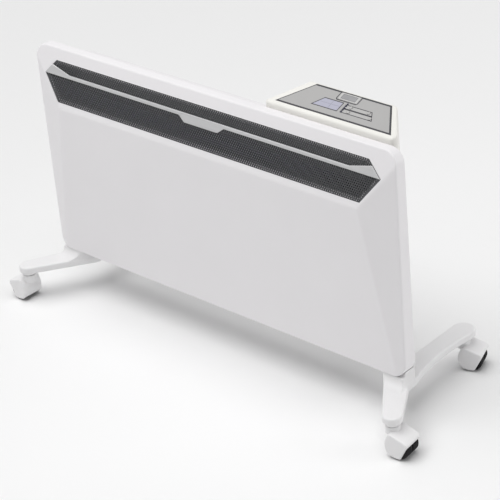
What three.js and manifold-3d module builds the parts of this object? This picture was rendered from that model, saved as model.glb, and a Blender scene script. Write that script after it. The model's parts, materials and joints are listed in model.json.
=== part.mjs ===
// Wall panel convector heater on a pair of castored feet.
// Millimetres, +Z up, +X to the right as seen from the front, the front faces -Y.
// Sizes are written in heater coordinates: z = 0 is the floor, x = 0 the middle of the panel and
// y = 0 the front edge of the panel's rim. The finished group is centred over its own footprint.

import * as THREE from 'three';
import { mergeVertices } from 'three/addons/utils/BufferGeometryUtils.js';
import Module from 'manifold-3d';

const wasm = await Module();
wasm.setup();

// ---------------------------------------------------------------- driving dimensions
const CLEARANCE = 0.3;            // between pieces that seat on each other

// front panel: a shallow moulded tray, its face made of four flat facets
const PANEL_WIDTH = 830;
const PANEL_BOTTOM = 93;          // above the floor
const PANEL_HEIGHT = 420;
const PANEL_CORNER = 25;
const PANEL_WALL = 3;
const RIM_DEPTH = 20;             // the tray's side walls end at y = RIM_DEPTH
const FOLD_HEIGHT = 312;          // the fold between the lower and upper facets, above the bottom
const FOLD_REACH = 23.7;          // how far the fold stands in front of the rim
const SILL_REACH = 10;            // how far the bottom edge stands in front of the rim
const UPPER_LEAN = 15;            // degrees that the upper facet leans back
const RIDGE_TOP = 347;            // half width of the lower facet at the fold
const RIDGE_BOTTOM = 400;         // half width of the lower facet at the bottom edge
const CORNER_REACH = 0.5;         // side facet's reach at the upper end of the panel's side
const CORNER_DROP = 22;           // below the top edge, where the side facet meets the upper one

// outlet grille, measured up the upper facet from the fold
const GRILLE_BOTTOM = 12.4;
const GRILLE_BOTTOM_HALF = 351;
const GRILLE_TIP = 61;
const GRILLE_TIP_HALF = 388;
const GRILLE_TOP = 88.3;
const GRILLE_TOP_HALF = 361;
const GRILLE_SHEET = 1.2;
const GRILLE_POCKET = 2;
const GRILLE_LEDGE = 6;
const GRILLE_LEDGE_SHEET = 2;
const GRILLE_FRAME = 8;           // width of the stiffening frame behind the pocket's rim
const VENT_LENGTH = 44;
const VENT_WIDTH = 4;
const VENT_PITCH = 50;
const VENT_ROW_PITCH = 8.6;
const VENT_MARGIN = 8;            // between a row of vents and the sheet's edge

// trim strip over the joint between the two grille sheets
const STRIP_WIDTH = 7;
const STRIP_RISE = 2.4;
const STRIP_EDGE = 0.8;
const STRIP_FLARE_START = 324;    // half length of the strip's parallel part
const STRIP_FLARE_RISE = 18.5;    // how far the flared end climbs the grille's edge
const STRIP_TAB_DROP = 10.4;
const STRIP_TAB_TOP = 52;
const STRIP_TAB_BOTTOM = 39;

// rear cover: a folded tray behind the panel, tapered towards the wall
const FLANGE_INSET = 1;
const COVER_SHEET = 2.2;
const COVER_DEPTH = 52.5;         // behind the flange
const COVER_FRONT_HALF = 394;
const COVER_REAR_HALF = 345;
const COVER_BOTTOM = 103;
const COVER_TOP_FRONT = 503;
const COVER_TOP_REAR = 482;
const INTAKE_LENGTH = 40;
const INTAKE_WIDTH = 7;
const INTAKE_PITCH = 54;
const INTAKE_COUNT = 11;
const INTAKE_ROWS = [34, 50];     // distances behind the rim
const BACK_INTAKE_HEIGHT = 30;    // the rear wall's upright slots
const BACK_INTAKE_WIDTH = 6;
const BACK_INTAKE_LIFT = 16;      // above the cover's bottom
const HOOK_SLOT_WIDTH = 7;
const HOOK_SLOT_HEIGHT = 14;
const HOOK_HEAD_RADIUS = 7;
const HOOK_SLOT_SPREAD = 250;     // half distance between the two wall slots
const HOOK_SLOT_LIFT = 413;       // above the floor

// case screws through the flange into bosses of the panel
const BOSS_INSET = 12;            // from the panel's side
const BOSS_SIZE = 12;
const BOSS_DEPTH = 16;
const CASE_SCREW_HEIGHTS = [178, 439];
const SCREW_RADIUS = 2;
const SCREW_HEAD_RADIUS = 3.9;
const SCREW_HEAD = 2.4;
const SCREW_LENGTH = 12;

// heating element: a finned aluminium profile on a straight rod
const ELEMENT_HALF = 300;
const ELEMENT_BACK = 30;          // rod centre behind the rim
const ELEMENT_LIFT = 188;         // rod centre above the floor
const FIN_COUNT = 9;
const FIN_PITCH = 7.6;
const FIN_SHEET = 1.7;
const FIN_REACH = 23;
const CORE_HALF = 7.5;
const ROD_RADIUS = 5;
const ROD_END = 22;               // rod showing at each end of the fins
const BRACKET_SHEET = 1.6;
const BRACKET_GAP = 6;            // from the fins to the bracket
const BRACKET_FOOT = 14;
const BRACKET_BELOW = 42;
const BRACKET_ABOVE = 46;
const INSULATOR_RADIUS = 9;
const INSULATOR_FLANGE = 12;
const INSULATOR_FLANGE_DEPTH = 2.5;

// air guide: bent sheet that leads the warm air forwards to the grille
const GUIDE_HALF = 333;
const GUIDE_SHEET = 1.2;
const GUIDE_FOOT_LIFT = 348;
const GUIDE_BEND_LIFT = 433;
const GUIDE_TOP_LIFT = 492;

// small electrical parts on the rear wall
const CUTOUT_SIZE = [24, 12, 16];
const CUTOUT_PLACE = [-60, 271];
const TERMINAL_SIZE = [46, 15, 20];
const TERMINAL_PLACE = [300, 285];
const TILT_SWITCH_SIZE = [30, 18, 26];
const TILT_SWITCH_PLACE = [-240, 278];
const LEAD_RADIUS = 2.2;

// control unit: slides down behind the panel's upper right end
const UNIT_FRONT_LEFT = 119;
const UNIT_FRONT_RIGHT = 402;
const UNIT_TAPER = 51;            // each slanted side moves in by this much towards the rear
const UNIT_DEPTH = 67;
const UNIT_FLOOR = 458;           // seat in the rear cover
const UNIT_CORNER = 9;
const UNIT_EDGE = 3;
const UNIT_WALL = 2.2;
const UNIT_GAP_LEFT = 7;          // from the recess wall to the unit
const TOP_LEAN = 18;              // degrees that the label climbs to the rear
const LABEL_FRONT_LIFT = 525;     // height of the label's front edge
const LABEL_SETBACK = 7.2;        // label's front edge behind the unit's front
const LABEL_LEFT = 140;
const LABEL_RIGHT = 383;
const LABEL_TAPER_LEFT = 46;
const LABEL_TAPER_RIGHT = 40;
const LABEL_DEPTH = 58.5;
const LABEL_SHEET = 1;
const LABEL_POCKET = 1;
const WINDOW_LEFT = 242;
const WINDOW_RIGHT = 282;
const WINDOW_BACK = 56.5;
const WINDOW_FRONT = 41;
const WINDOW_THICKNESS = 2;
const LAMP_PLACE = [268.5, 16.5];
const LAMP_PITCH = 4.7;
const LAMP_COUNT = 5;
const LAMP_RADIUS = 1.7;
const KEY_RADIUS = 3.1;
const KEY_RISE = 0.9;
const KEY_STEM = 7;
const KEY_PLACES = {
  key_mode: [279, 30],
  key_timer: [316, 30],
  key_minus: [281, 19.5],
  key_plus: [326, 19.5],
};
const BOARD_SHEET = 1.6;
const BOARD_DROP = 10;            // below the label
const BOARD_MARGIN = 12;
const RELAY_SIZE = [28, 20, 14];
const RELAY_PLACE = [205, 22];
const PLUG_SIZE = [36, 14];
const PLUG_REACH = 17;            // below the unit's floor
const PLUG_PLACE = [300, 52];
const SOCKET_WALL = 5;
const SOCKET_DEPTH = 24;
const ROCKER_LENGTH = 20;
const ROCKER_WIDTH = 13;
const ROCKER_ALONG = 50;          // along the slanted left side, from its rear corner
const ROCKER_LIFT = 495;
const ROCKER_DEPTH = 7;
const ROCKER_TILT = 8;            // degrees that the rocker's face is bent at its middle
const GLAND_ALONG = 22;
const GLAND_LIFT = 473;
const GLAND_RADIUS = 6.5;
const GLAND_FLANGE = 9;
const GLAND_BORE = 3.6;
const GLAND_REACH = 9;

// feet: a boomerang shaped beam under each end of the panel
const FOOT_FRONT_TOE = [441, -77];
const FOOT_REAR_TOE = [381, 199];
const FRONT_TOE_RADIUS = 17.5;
const REAR_TOE_RADIUS = 21.5;
const FOOT_TOP = 75;
const FOOT_THICKNESS = 14;
const FOOT_EDGE = 3.5;
const FOOT_INNER = 347;           // where the front arm's inner edge meets the body
const FOOT_WAIST = 388;           // the rear arm's outer edge is drawn in towards this
const FOOT_WAIST_BACK = 100;
const FOOT_OUTER = 411;
const FOOT_BEND = 9;              // where the front arm's outer edge meets the body
const RISER_FRONT = -8;           // front of the block that carries the panel's bottom edge
const RISER_INNER = 368;          // the block's inner front corner
const COLLAR_RADIUS = 15;
const COLLAR_DROP = 4;
const PAD_END = 62;               // the rear pad's end under the cover
const PAD_INNER = 350;
const PAD_OUTER = 384;
const TAB_WIDTH = 12;
const TAB_SHEET = 3.6;
const TAB_TOP = 148;
const FOOT_SCREW_X = 360;
const FOOT_SCREW_ROWS = [33, 49];

// castors: twin wheels under a rounded hood
const WHEEL_RADIUS = 20;
const WHEEL_WIDTH = 18.5;
const WHEEL_GAP = 1.6;
const WHEEL_SHOULDER = 2;
const CASTOR_TRAIL = 18;
const HOOD_SIDE = 2.5;
const HOOD_CAVITY = 1;            // room round the wheels
const HOOD_EDGE = 4;              // rounding between the hood's side and its top
const HOOD_FRONT = 5.5;           // ahead of the swivel axis
const HOOD_BOTTOM = 3;            // above the floor
const HOOD_CROWN = 48.5;            // top of the hood at the neck
const HOOD_TAIL = 40;             // behind the swivel axis, the upper end of the open tail
const HOOD_TAIL_LIFT = 33;
const HOOD_TAIL_FOOT = 25;        // behind the swivel axis, the lower end of the open tail
const NECK_RADIUS = 13;
const STEM_RADIUS = 4;
const STEM_REACH = 14;
const AXLE_RADIUS = 3;

// turned positions of the castors at rest, degrees from +X
const CASTOR_TURNS = { front_right: 5, rear_right: 19, front_left: 178, rear_left: 164 };

// ---------------------------------------------------------------- finishes
const FINISHES = {
  white: { color: 0xe9e9ea, roughness: 0.45, metalness: 0 },
  cream: { color: 0xf0eee6, roughness: 0.5, metalness: 0 },
  charcoal: { color: 0x3a3b40, roughness: 0.6, metalness: 0.2 },
  silver: { color: 0xb9babd, roughness: 0.35, metalness: 0.6 },
  steel: { color: 0xa8aaad, roughness: 0.4, metalness: 0.9 },
  aluminium: { color: 0xb5b8bb, roughness: 0.5, metalness: 0.8 },
  grey: { color: 0xc6c4c3, roughness: 0.4, metalness: 0 },
  black: { color: 0x141416, roughness: 0.6, metalness: 0 },
  blue: { color: 0x26305e, roughness: 0.3, metalness: 0 },
  smoke: { color: 0x77787c, roughness: 0.15, metalness: 0 },
  green: { color: 0x2f5c3e, roughness: 0.6, metalness: 0 },
};

// ---------------------------------------------------------------- places that follow from the sizes
const panelHalf = PANEL_WIDTH / 2;
const panelTop = PANEL_BOTTOM + PANEL_HEIGHT;
const foldLift = PANEL_BOTTOM + FOLD_HEIGHT;
const upperLean = THREE.MathUtils.degToRad(UPPER_LEAN);
const topLean = THREE.MathUtils.degToRad(TOP_LEAN);
const flangeFront = RIM_DEPTH + CLEARANCE;
const flangeBack = flangeFront + COVER_SHEET;
const coverBack = flangeBack + COVER_DEPTH;
const coverInnerBack = coverBack - COVER_SHEET;
const unitFront = flangeBack + CLEARANCE;
const unitBack = unitFront + UNIT_DEPTH;
const unitBottom = UNIT_FLOOR + CLEARANCE;
const recessLeft = UNIT_FRONT_LEFT - UNIT_GAP_LEFT;
const footBottom = FOOT_TOP - FOOT_THICKNESS;
const collarBottom = footBottom - COLLAR_DROP;
const hoodHalf = WHEEL_WIDTH + WHEEL_GAP / 2 + CLEARANCE + HOOD_SIDE;
const BIG = 2000;

// ---------------------------------------------------------------- geometry helpers
function toSolid(geometry) {
  const bare = new THREE.BufferGeometry();
  bare.setAttribute('position', geometry.getAttribute('position').clone());
  if (geometry.index) bare.setIndex(geometry.index.clone());
  const merged = mergeVertices(bare, 1e-4);
  const vertProperties = new Float32Array(merged.getAttribute('position').array);
  const triVerts = new Uint32Array(merged.index.array);
  return new wasm.Manifold(new wasm.Mesh({ numProp: 3, vertProperties, triVerts }));
}

function toGeometry(solid) {
  const mesh = solid.getMesh();
  const geometry = new THREE.BufferGeometry();
  geometry.setAttribute('position', new THREE.BufferAttribute(new Float32Array(mesh.vertProperties), 3));
  geometry.setIndex(new THREE.BufferAttribute(new Uint32Array(mesh.triVerts), 1));
  geometry.computeVertexNormals();
  return geometry;
}

function join(...geometries) {
  return toGeometry(geometries.map(toSolid).reduce((sum, next) => sum.add(next)));
}

function cut(body, ...tools) {
  return toGeometry(tools.map(toSolid).reduce((rest, tool) => rest.subtract(tool), toSolid(body)));
}

function common(...geometries) {
  return toGeometry(geometries.map(toSolid).reduce((rest, next) => rest.intersect(next)));
}

function box(x0, x1, y0, y1, z0, z1) {
  const geometry = new THREE.BoxGeometry(x1 - x0, y1 - y0, z1 - z0);
  return geometry.translate((x0 + x1) / 2, (y0 + y1) / 2, (z0 + z1) / 2);
}

function shapeOf(points) {
  return new THREE.Shape(points.map(([x, y]) => new THREE.Vector2(x, y)));
}

// a flat outline (x, y) made thick from z0 to z1
function slabUp(shape, z0, z1) {
  return new THREE.ExtrudeGeometry(shape, { depth: z1 - z0, bevelEnabled: false }).translate(0, 0, z0);
}

// an outline (x, z) made thick from y0 to y1
function slabBack(shape, y0, y1) {
  const geometry = new THREE.ExtrudeGeometry(shape, { depth: y1 - y0, bevelEnabled: false });
  return geometry.rotateX(Math.PI / 2).translate(0, y1, 0);
}

// an outline (y, z) made thick from x0 to x1
function slabAcross(shape, x0, x1) {
  const geometry = new THREE.ExtrudeGeometry(shape, { depth: x1 - x0, bevelEnabled: false });
  const turn = new THREE.Matrix4().makeBasis(
    new THREE.Vector3(0, 1, 0), new THREE.Vector3(0, 0, 1), new THREE.Vector3(1, 0, 0));
  return geometry.applyMatrix4(turn).translate(x0, 0, 0);
}

function cylinderUp(radius, x, y, z0, z1, sides = 24) {
  return new THREE.CylinderGeometry(radius, radius, z1 - z0, sides).rotateX(Math.PI / 2)
    .translate(x, y, (z0 + z1) / 2);
}

function cylinderBack(radius, x, z, y0, y1, sides = 20) {
  return new THREE.CylinderGeometry(radius, radius, y1 - y0, sides).translate(x, (y0 + y1) / 2, z);
}

function cylinderAcross(radius, y, z, x0, x1, sides = 20) {
  return new THREE.CylinderGeometry(radius, radius, x1 - x0, sides).rotateZ(Math.PI / 2)
    .translate((x0 + x1) / 2, y, z);
}

// a convex outline moved outwards (or inwards, when distance is negative); points run counter-clockwise
function grown(points, distance) {
  const edges = points.map(([x, y], i) => {
    const [nextX, nextY] = points[(i + 1) % points.length];
    const length = Math.hypot(nextX - x, nextY - y);
    const along = [(nextX - x) / length, (nextY - y) / length];
    return { start: [x + along[1] * distance, y - along[0] * distance], along };
  });
  return edges.map((edge, i) => {
    const last = edges[(i + edges.length - 1) % edges.length];
    const cross = last.along[0] * edge.along[1] - last.along[1] * edge.along[0];
    const gapX = edge.start[0] - last.start[0];
    const gapY = edge.start[1] - last.start[1];
    const reach = (gapX * edge.along[1] - gapY * edge.along[0]) / cross;
    return [last.start[0] + last.along[0] * reach, last.start[1] + last.along[1] * reach];
  });
}

// a convex outline with its corners turned into arcs of `steps` chords
function rounded(points, radius, steps = 4) {
  const outline = [];
  points.forEach(([x, y], i) => {
    const before = points[(i + points.length - 1) % points.length];
    const after = points[(i + 1) % points.length];
    const a = new THREE.Vector2(before[0] - x, before[1] - y).normalize();
    const b = new THREE.Vector2(after[0] - x, after[1] - y).normalize();
    const half = Math.acos(THREE.MathUtils.clamp(a.dot(b), -1, 1)) / 2;
    const middle = a.clone().add(b).normalize().multiplyScalar(radius / Math.sin(half));
    const centre = new THREE.Vector2(x, y).add(middle);
    const start = new THREE.Vector2(x, y).addScaledVector(a, radius / Math.tan(half)).sub(centre);
    const sweep = Math.PI - 2 * half;
    for (let step = 0; step <= steps; step += 1) {
      const point = start.clone().rotateAround(new THREE.Vector2(), (sweep * step) / steps).add(centre);
      outline.push([point.x, point.y]);
    }
  });
  return outline;
}

// a closed solid through rings of equal length, each a list of [x, y, z]
// that runs counter-clockwise as seen from the last ring
function loft(rings) {
  const count = rings[0].length;
  const positions = rings.flat(2);
  const faces = [];
  const flat = rings[0].map((_, i) => i);
  for (let i = 1; i < count - 1; i += 1) {
    faces.push(flat[0], flat[i + 1], flat[i]);
    const last = (rings.length - 1) * count;
    faces.push(last, last + i, last + i + 1);
  }
  for (let ring = 0; ring < rings.length - 1; ring += 1) {
    for (let i = 0; i < count; i += 1) {
      const a = ring * count + i;
      const b = ring * count + ((i + 1) % count);
      faces.push(a, b, b + count, a, b + count, a + count);
    }
  }
  const geometry = new THREE.BufferGeometry();
  geometry.setAttribute('position', new THREE.Float32BufferAttribute(positions, 3));
  geometry.setIndex(faces);
  geometry.computeVertexNormals();
  return geometry;
}

// everything behind a plane through `point` whose outer side is `normal`
function behindPlane(point, normal) {
  const turn = new THREE.Quaternion().setFromUnitVectors(new THREE.Vector3(0, 0, 1), normal);
  return new THREE.BoxGeometry(BIG, BIG, BIG).translate(0, 0, -BIG / 2)
    .applyQuaternion(turn).translate(point.x, point.y, point.z);
}

function mirrored(geometry) {
  const copy = geometry.clone().scale(-1, 1, 1);
  const index = copy.index.array;
  for (let i = 0; i < index.length; i += 3) {
    const second = index[i + 1];
    index[i + 1] = index[i + 2];
    index[i + 2] = second;
  }
  copy.computeVertexNormals();
  return copy;
}

// a round lead along a smooth route
function lead(points, radius, steps) {
  const route = new THREE.CatmullRomCurve3(points.map((point) => new THREE.Vector3(...point)));
  const section = new THREE.Shape().absarc(0, 0, radius, 0, Math.PI * 2);
  return new THREE.ExtrudeGeometry(section, { steps, extrudePath: route, curveSegments: 4 });
}

// ---------------------------------------------------------------- front panel
const upperNormal = new THREE.Vector3(0, -Math.cos(upperLean), Math.sin(upperLean));
const foldPoint = new THREE.Vector3(0, -FOLD_REACH, foldLift);

// local frame of the upper facet: x across, y up the slope from the fold, z outwards
const slopeFrame = new THREE.Matrix4().makeBasis(
  new THREE.Vector3(1, 0, 0), new THREE.Vector3(0, Math.sin(upperLean), Math.cos(upperLean)), upperNormal)
  .setPosition(foldPoint);

// local frame of the label: x across, y up the slope from its front edge, z outwards
const labelFrame = new THREE.Matrix4().makeBasis(
  new THREE.Vector3(1, 0, 0), new THREE.Vector3(0, Math.cos(topLean), Math.sin(topLean)),
  new THREE.Vector3(0, -Math.sin(topLean), Math.cos(topLean)))
  .setPosition(0, unitFront + LABEL_SETBACK, LABEL_FRONT_LIFT);

function panelOutline(inset) {
  const half = panelHalf - inset;
  const low = PANEL_BOTTOM + inset;
  const high = panelTop - inset;
  return rounded([[-half, low], [half, low], [half, high], [-half, high]], PANEL_CORNER - inset, 6);
}

// the three facets that cut the panel's block, as a point and an outward normal each
function facetPlanes() {
  const sill = new THREE.Vector3(0, -SILL_REACH, PANEL_BOTTOM);
  const lowerNormal = foldPoint.clone().sub(sill).cross(new THREE.Vector3(-1, 0, 0)).normalize();
  const planes = [[foldPoint, upperNormal], [sill, lowerNormal]];
  for (const side of [1, -1]) {
    const ridgeTop = new THREE.Vector3(side * RIDGE_TOP, -FOLD_REACH, foldLift);
    const ridgeBottom = new THREE.Vector3(side * RIDGE_BOTTOM, -SILL_REACH, PANEL_BOTTOM);
    const corner = new THREE.Vector3(side * panelHalf, -CORNER_REACH, panelTop - CORNER_DROP);
    const normal = ridgeBottom.clone().sub(ridgeTop).cross(corner.clone().sub(ridgeTop)).normalize();
    planes.push([ridgeTop, normal.multiplyScalar(-Math.sign(normal.y))]);
  }
  return planes;
}

// the panel's block between its facets and `back`, with every face moved in by `inset`
function panelBlock(inset, back) {
  const block = slabBack(shapeOf(panelOutline(inset)), -2 * FOLD_REACH, back);
  const halves = facetPlanes().map(([point, normal]) =>
    behindPlane(point.clone().addScaledVector(normal, -inset), normal));
  return common(block, ...halves);
}

const grilleOutline = [
  [-GRILLE_BOTTOM_HALF, GRILLE_BOTTOM], [GRILLE_BOTTOM_HALF, GRILLE_BOTTOM],
  [GRILLE_TIP_HALF, GRILLE_TIP], [GRILLE_TOP_HALF, GRILLE_TOP],
  [-GRILLE_TOP_HALF, GRILLE_TOP], [-GRILLE_TIP_HALF, GRILLE_TIP],
];

function onSlope(points, z0, z1) {
  return slabUp(shapeOf(points), z0, z1).applyMatrix4(slopeFrame);
}

function bossBlock(side, lift) {
  const outer = side * (panelHalf - PANEL_WALL / 2);
  const inner = side * (panelHalf - BOSS_INSET - BOSS_SIZE / 2);
  const half = BOSS_SIZE / 2;
  return box(Math.min(outer, inner), Math.max(outer, inner), RIM_DEPTH - BOSS_DEPTH, RIM_DEPTH,
    lift - half, lift + half);
}

function caseScrewPlaces() {
  const places = [];
  for (const side of [-1, 1]) {
    for (const lift of CASE_SCREW_HEIGHTS) places.push([side * (panelHalf - BOSS_INSET), lift]);
  }
  return places;
}

function frontPanel() {
  const overshoot = 1;
  const seatBack = -GRILLE_POCKET - GRILLE_LEDGE_SHEET;
  const shell = cut(panelBlock(0, RIM_DEPTH), panelBlock(PANEL_WALL, RIM_DEPTH + overshoot));
  const stiffener = common(
    onSlope(grown(grilleOutline, GRILLE_FRAME), seatBack, -overshoot), panelBlock(overshoot, RIM_DEPTH));
  const bosses = [];
  for (const side of [-1, 1]) {
    for (const lift of CASE_SCREW_HEIGHTS) bosses.push(bossBlock(side, lift));
  }
  const bores = caseScrewPlaces().map(([x, lift]) => cylinderBack(SCREW_RADIUS + CLEARANCE / 2, x, lift,
    flangeBack - SCREW_LENGTH - overshoot, RIM_DEPTH + overshoot, 16));
  const pocket = onSlope(grown(grilleOutline, CLEARANCE), -GRILLE_POCKET, FOLD_REACH);
  const mouth = onSlope(grown(grilleOutline, -GRILLE_LEDGE), -FOLD_REACH, FOLD_REACH);
  return cut(join(shell, stiffener, ...bosses), pocket, mouth, ...bores);
}

// ---------------------------------------------------------------- grille sheets and trim strip
function grilleHalfAt(rise) {
  if (rise < GRILLE_TIP) {
    const share = (rise - GRILLE_BOTTOM) / (GRILLE_TIP - GRILLE_BOTTOM);
    return THREE.MathUtils.lerp(GRILLE_BOTTOM_HALF, GRILLE_TIP_HALF, share);
  }
  const share = (rise - GRILLE_TIP) / (GRILLE_TOP - GRILLE_TIP);
  return THREE.MathUtils.lerp(GRILLE_TIP_HALF, GRILLE_TOP_HALF, share);
}

const stripMiddle = GRILLE_TIP + STRIP_WIDTH / 2;

// rows of straight vents between two heights of the slope, every second row shifted by half a pitch
function ventRows(low, high) {
  const rows = Math.floor((high - low - VENT_WIDTH) / VENT_ROW_PITCH) + 1;
  const first = (low + high - (rows - 1) * VENT_ROW_PITCH) / 2;
  const vents = [];
  for (let row = 0; row < rows; row += 1) {
    const rise = first + row * VENT_ROW_PITCH;
    const room = Math.min(grilleHalfAt(rise - VENT_WIDTH / 2), grilleHalfAt(rise + VENT_WIDTH / 2));
    const shift = (row % 2) * (VENT_PITCH / 2);
    const reach = Math.floor((room - VENT_MARGIN - VENT_LENGTH / 2 - shift) / VENT_PITCH);
    for (let column = -reach - (row % 2); column <= reach; column += 1) {
      const x = column * VENT_PITCH + shift;
      vents.push(box(x - VENT_LENGTH / 2, x + VENT_LENGTH / 2, rise - VENT_WIDTH / 2, rise + VENT_WIDTH / 2,
        -GRILLE_POCKET - GRILLE_SHEET, GRILLE_SHEET));
    }
  }
  return vents;
}

function grilleSheet(outline, ventLow, ventHigh) {
  const back = -GRILLE_POCKET + CLEARANCE;
  const sheet = slabUp(shapeOf(outline), back, back + GRILLE_SHEET);
  return cut(sheet, ...ventRows(ventLow, ventHigh)).applyMatrix4(slopeFrame);
}

function upperGrille() {
  const seam = stripMiddle + CLEARANCE / 2;
  const half = grilleHalfAt(seam);
  return grilleSheet([[-half, seam], [half, seam], [GRILLE_TOP_HALF, GRILLE_TOP],
    [-GRILLE_TOP_HALF, GRILLE_TOP]], GRILLE_TIP + STRIP_WIDTH, GRILLE_TOP - GRILLE_LEDGE + VENT_WIDTH / 2);
}

function lowerGrille() {
  const seam = stripMiddle - CLEARANCE / 2;
  const half = grilleHalfAt(seam);
  return grilleSheet([[-GRILLE_BOTTOM_HALF, GRILLE_BOTTOM], [GRILLE_BOTTOM_HALF, GRILLE_BOTTOM],
    [GRILLE_TIP_HALF, GRILLE_TIP], [half, seam], [-half, seam], [-GRILLE_TIP_HALF, GRILLE_TIP]],
  GRILLE_BOTTOM + GRILLE_LEDGE - VENT_WIDTH / 2, GRILLE_TIP);
}

// the strip covers the seam, flares out to the grille's tips and carries a blank tab in the middle
function trimStrip() {
  const flareTop = GRILLE_TIP + STRIP_FLARE_RISE;
  const stripTop = GRILLE_TIP + STRIP_WIDTH;
  const tipHalf = GRILLE_TIP_HALF - CLEARANCE;
  const flareHalf = grilleHalfAt(flareTop) - CLEARANCE;
  const points = [
    [-tipHalf, GRILLE_TIP], [-STRIP_TAB_TOP, GRILLE_TIP], [-STRIP_TAB_BOTTOM, GRILLE_TIP - STRIP_TAB_DROP],
    [STRIP_TAB_BOTTOM, GRILLE_TIP - STRIP_TAB_DROP], [STRIP_TAB_TOP, GRILLE_TIP], [tipHalf, GRILLE_TIP],
    [flareHalf, flareTop], [STRIP_FLARE_START, stripTop], [-STRIP_FLARE_START, stripTop],
    [-flareHalf, flareTop],
  ];
  const back = -GRILLE_POCKET + GRILLE_SHEET + 2 * CLEARANCE;
  const geometry = new THREE.ExtrudeGeometry(shapeOf(points), {
    depth: STRIP_RISE - STRIP_EDGE, bevelEnabled: true, bevelSegments: 1,
    bevelThickness: STRIP_EDGE / 2, bevelSize: STRIP_EDGE, bevelOffset: -STRIP_EDGE,
  });
  return geometry.translate(0, 0, back + STRIP_EDGE / 2).applyMatrix4(slopeFrame);
}

// ---------------------------------------------------------------- rear cover
function coverBlock(inset, back) {
  const share = (back - flangeBack) / COVER_DEPTH;
  const rearHalf = THREE.MathUtils.lerp(COVER_FRONT_HALF, COVER_REAR_HALF, share);
  const rearTop = THREE.MathUtils.lerp(COVER_TOP_FRONT, COVER_TOP_REAR, share);
  const ring = (y, half, top) => [
    [-half + inset, y, COVER_BOTTOM + inset], [-half + inset, y, top - inset],
    [half - inset, y, top - inset], [half - inset, y, COVER_BOTTOM + inset]];
  return loft([ring(flangeFront - inset, COVER_FRONT_HALF, COVER_TOP_FRONT),
    ring(back, rearHalf, rearTop)]);
}

function rearCover() {
  const flange = slabBack(shapeOf(panelOutline(FLANGE_INSET)), flangeFront, flangeBack);
  const recess = box(recessLeft, BIG, flangeBack, BIG, UNIT_FLOOR, BIG);
  const recessSkin = box(recessLeft - COVER_SHEET, BIG, flangeFront - COVER_SHEET, BIG,
    UNIT_FLOOR - COVER_SHEET, BIG);
  const outside = join(flange, cut(coverBlock(0, coverBack), recess));
  const inside = cut(coverBlock(COVER_SHEET, coverInnerBack), recessSkin);
  return cut(outside, inside, ...intakeSlots(), ...hookSlots(), ...coverBores(), plugHole());
}

function intakeSlots() {
  const slots = [];
  const first = -((INTAKE_COUNT - 1) * INTAKE_PITCH) / 2;
  for (let column = 0; column < INTAKE_COUNT; column += 1) {
    const x = first + column * INTAKE_PITCH;
    for (const back of INTAKE_ROWS) {
      slots.push(box(x - INTAKE_LENGTH / 2, x + INTAKE_LENGTH / 2, back - INTAKE_WIDTH / 2,
        back + INTAKE_WIDTH / 2, COVER_BOTTOM - COVER_SHEET, COVER_BOTTOM + 2 * COVER_SHEET));
    }
    const low = COVER_BOTTOM + BACK_INTAKE_LIFT;
    slots.push(box(x - BACK_INTAKE_WIDTH / 2, x + BACK_INTAKE_WIDTH / 2, coverInnerBack - COVER_SHEET,
      coverBack + COVER_SHEET, low, low + BACK_INTAKE_HEIGHT));
  }
  return slots;
}

// keyhole slots that can hang the heater on a wall instead
function hookSlots() {
  const start = coverInnerBack - COVER_SHEET;
  const end = coverBack + COVER_SHEET;
  const slots = [];
  for (const x of [-HOOK_SLOT_SPREAD, HOOK_SLOT_SPREAD]) {
    slots.push(box(x - HOOK_SLOT_WIDTH / 2, x + HOOK_SLOT_WIDTH / 2, start, end,
      HOOK_SLOT_LIFT, HOOK_SLOT_LIFT + HOOK_SLOT_HEIGHT));
    slots.push(cylinderBack(HOOK_HEAD_RADIUS, x, HOOK_SLOT_LIFT, start, end));
  }
  return slots;
}

function coverBores() {
  const bores = caseScrewPlaces().map(([x, lift]) => cylinderBack(SCREW_RADIUS + CLEARANCE, x, lift,
    flangeFront - COVER_SHEET, flangeBack + COVER_SHEET, 16));
  for (const side of [-1, 1]) {
    for (const row of FOOT_SCREW_ROWS) {
      bores.push(cylinderUp(SCREW_RADIUS + CLEARANCE, side * FOOT_SCREW_X, row,
        COVER_BOTTOM - COVER_SHEET, COVER_BOTTOM + 2 * COVER_SHEET, 16));
    }
  }
  return bores;
}

function plugHole() {
  const room = 2 * CLEARANCE;
  const [x, y] = PLUG_PLACE;
  return box(x - PLUG_SIZE[0] / 2 - room, x + PLUG_SIZE[0] / 2 + room, y - PLUG_SIZE[1] / 2 - room,
    y + PLUG_SIZE[1] / 2 + room, UNIT_FLOOR - 2 * COVER_SHEET, UNIT_FLOOR + COVER_SHEET);
}

// ---------------------------------------------------------------- screws
// a pan head screw with a cross recess, its head on z > 0 and its shank down to -length
function screw(length) {
  const rise = SCREW_HEAD / 2;
  const profile = [[0, -length], [SCREW_RADIUS - 0.6, -length], [SCREW_RADIUS, -length + 1],
    [SCREW_RADIUS, 0], [SCREW_HEAD_RADIUS, 0], [SCREW_HEAD_RADIUS, rise],
    [SCREW_HEAD_RADIUS - 1, SCREW_HEAD],
    [0, SCREW_HEAD]];
  const turned = new THREE.LatheGeometry(profile.map(([r, z]) => new THREE.Vector2(r, z)), 16);
  turned.rotateX(Math.PI / 2);
  const arm = SCREW_HEAD_RADIUS * 0.55;
  const blade = 0.45;
  return cut(turned, box(-arm, arm, -blade, blade, rise, SCREW_HEAD + 1),
    box(-blade, blade, -arm, arm, rise, SCREW_HEAD + 1));
}

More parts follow.
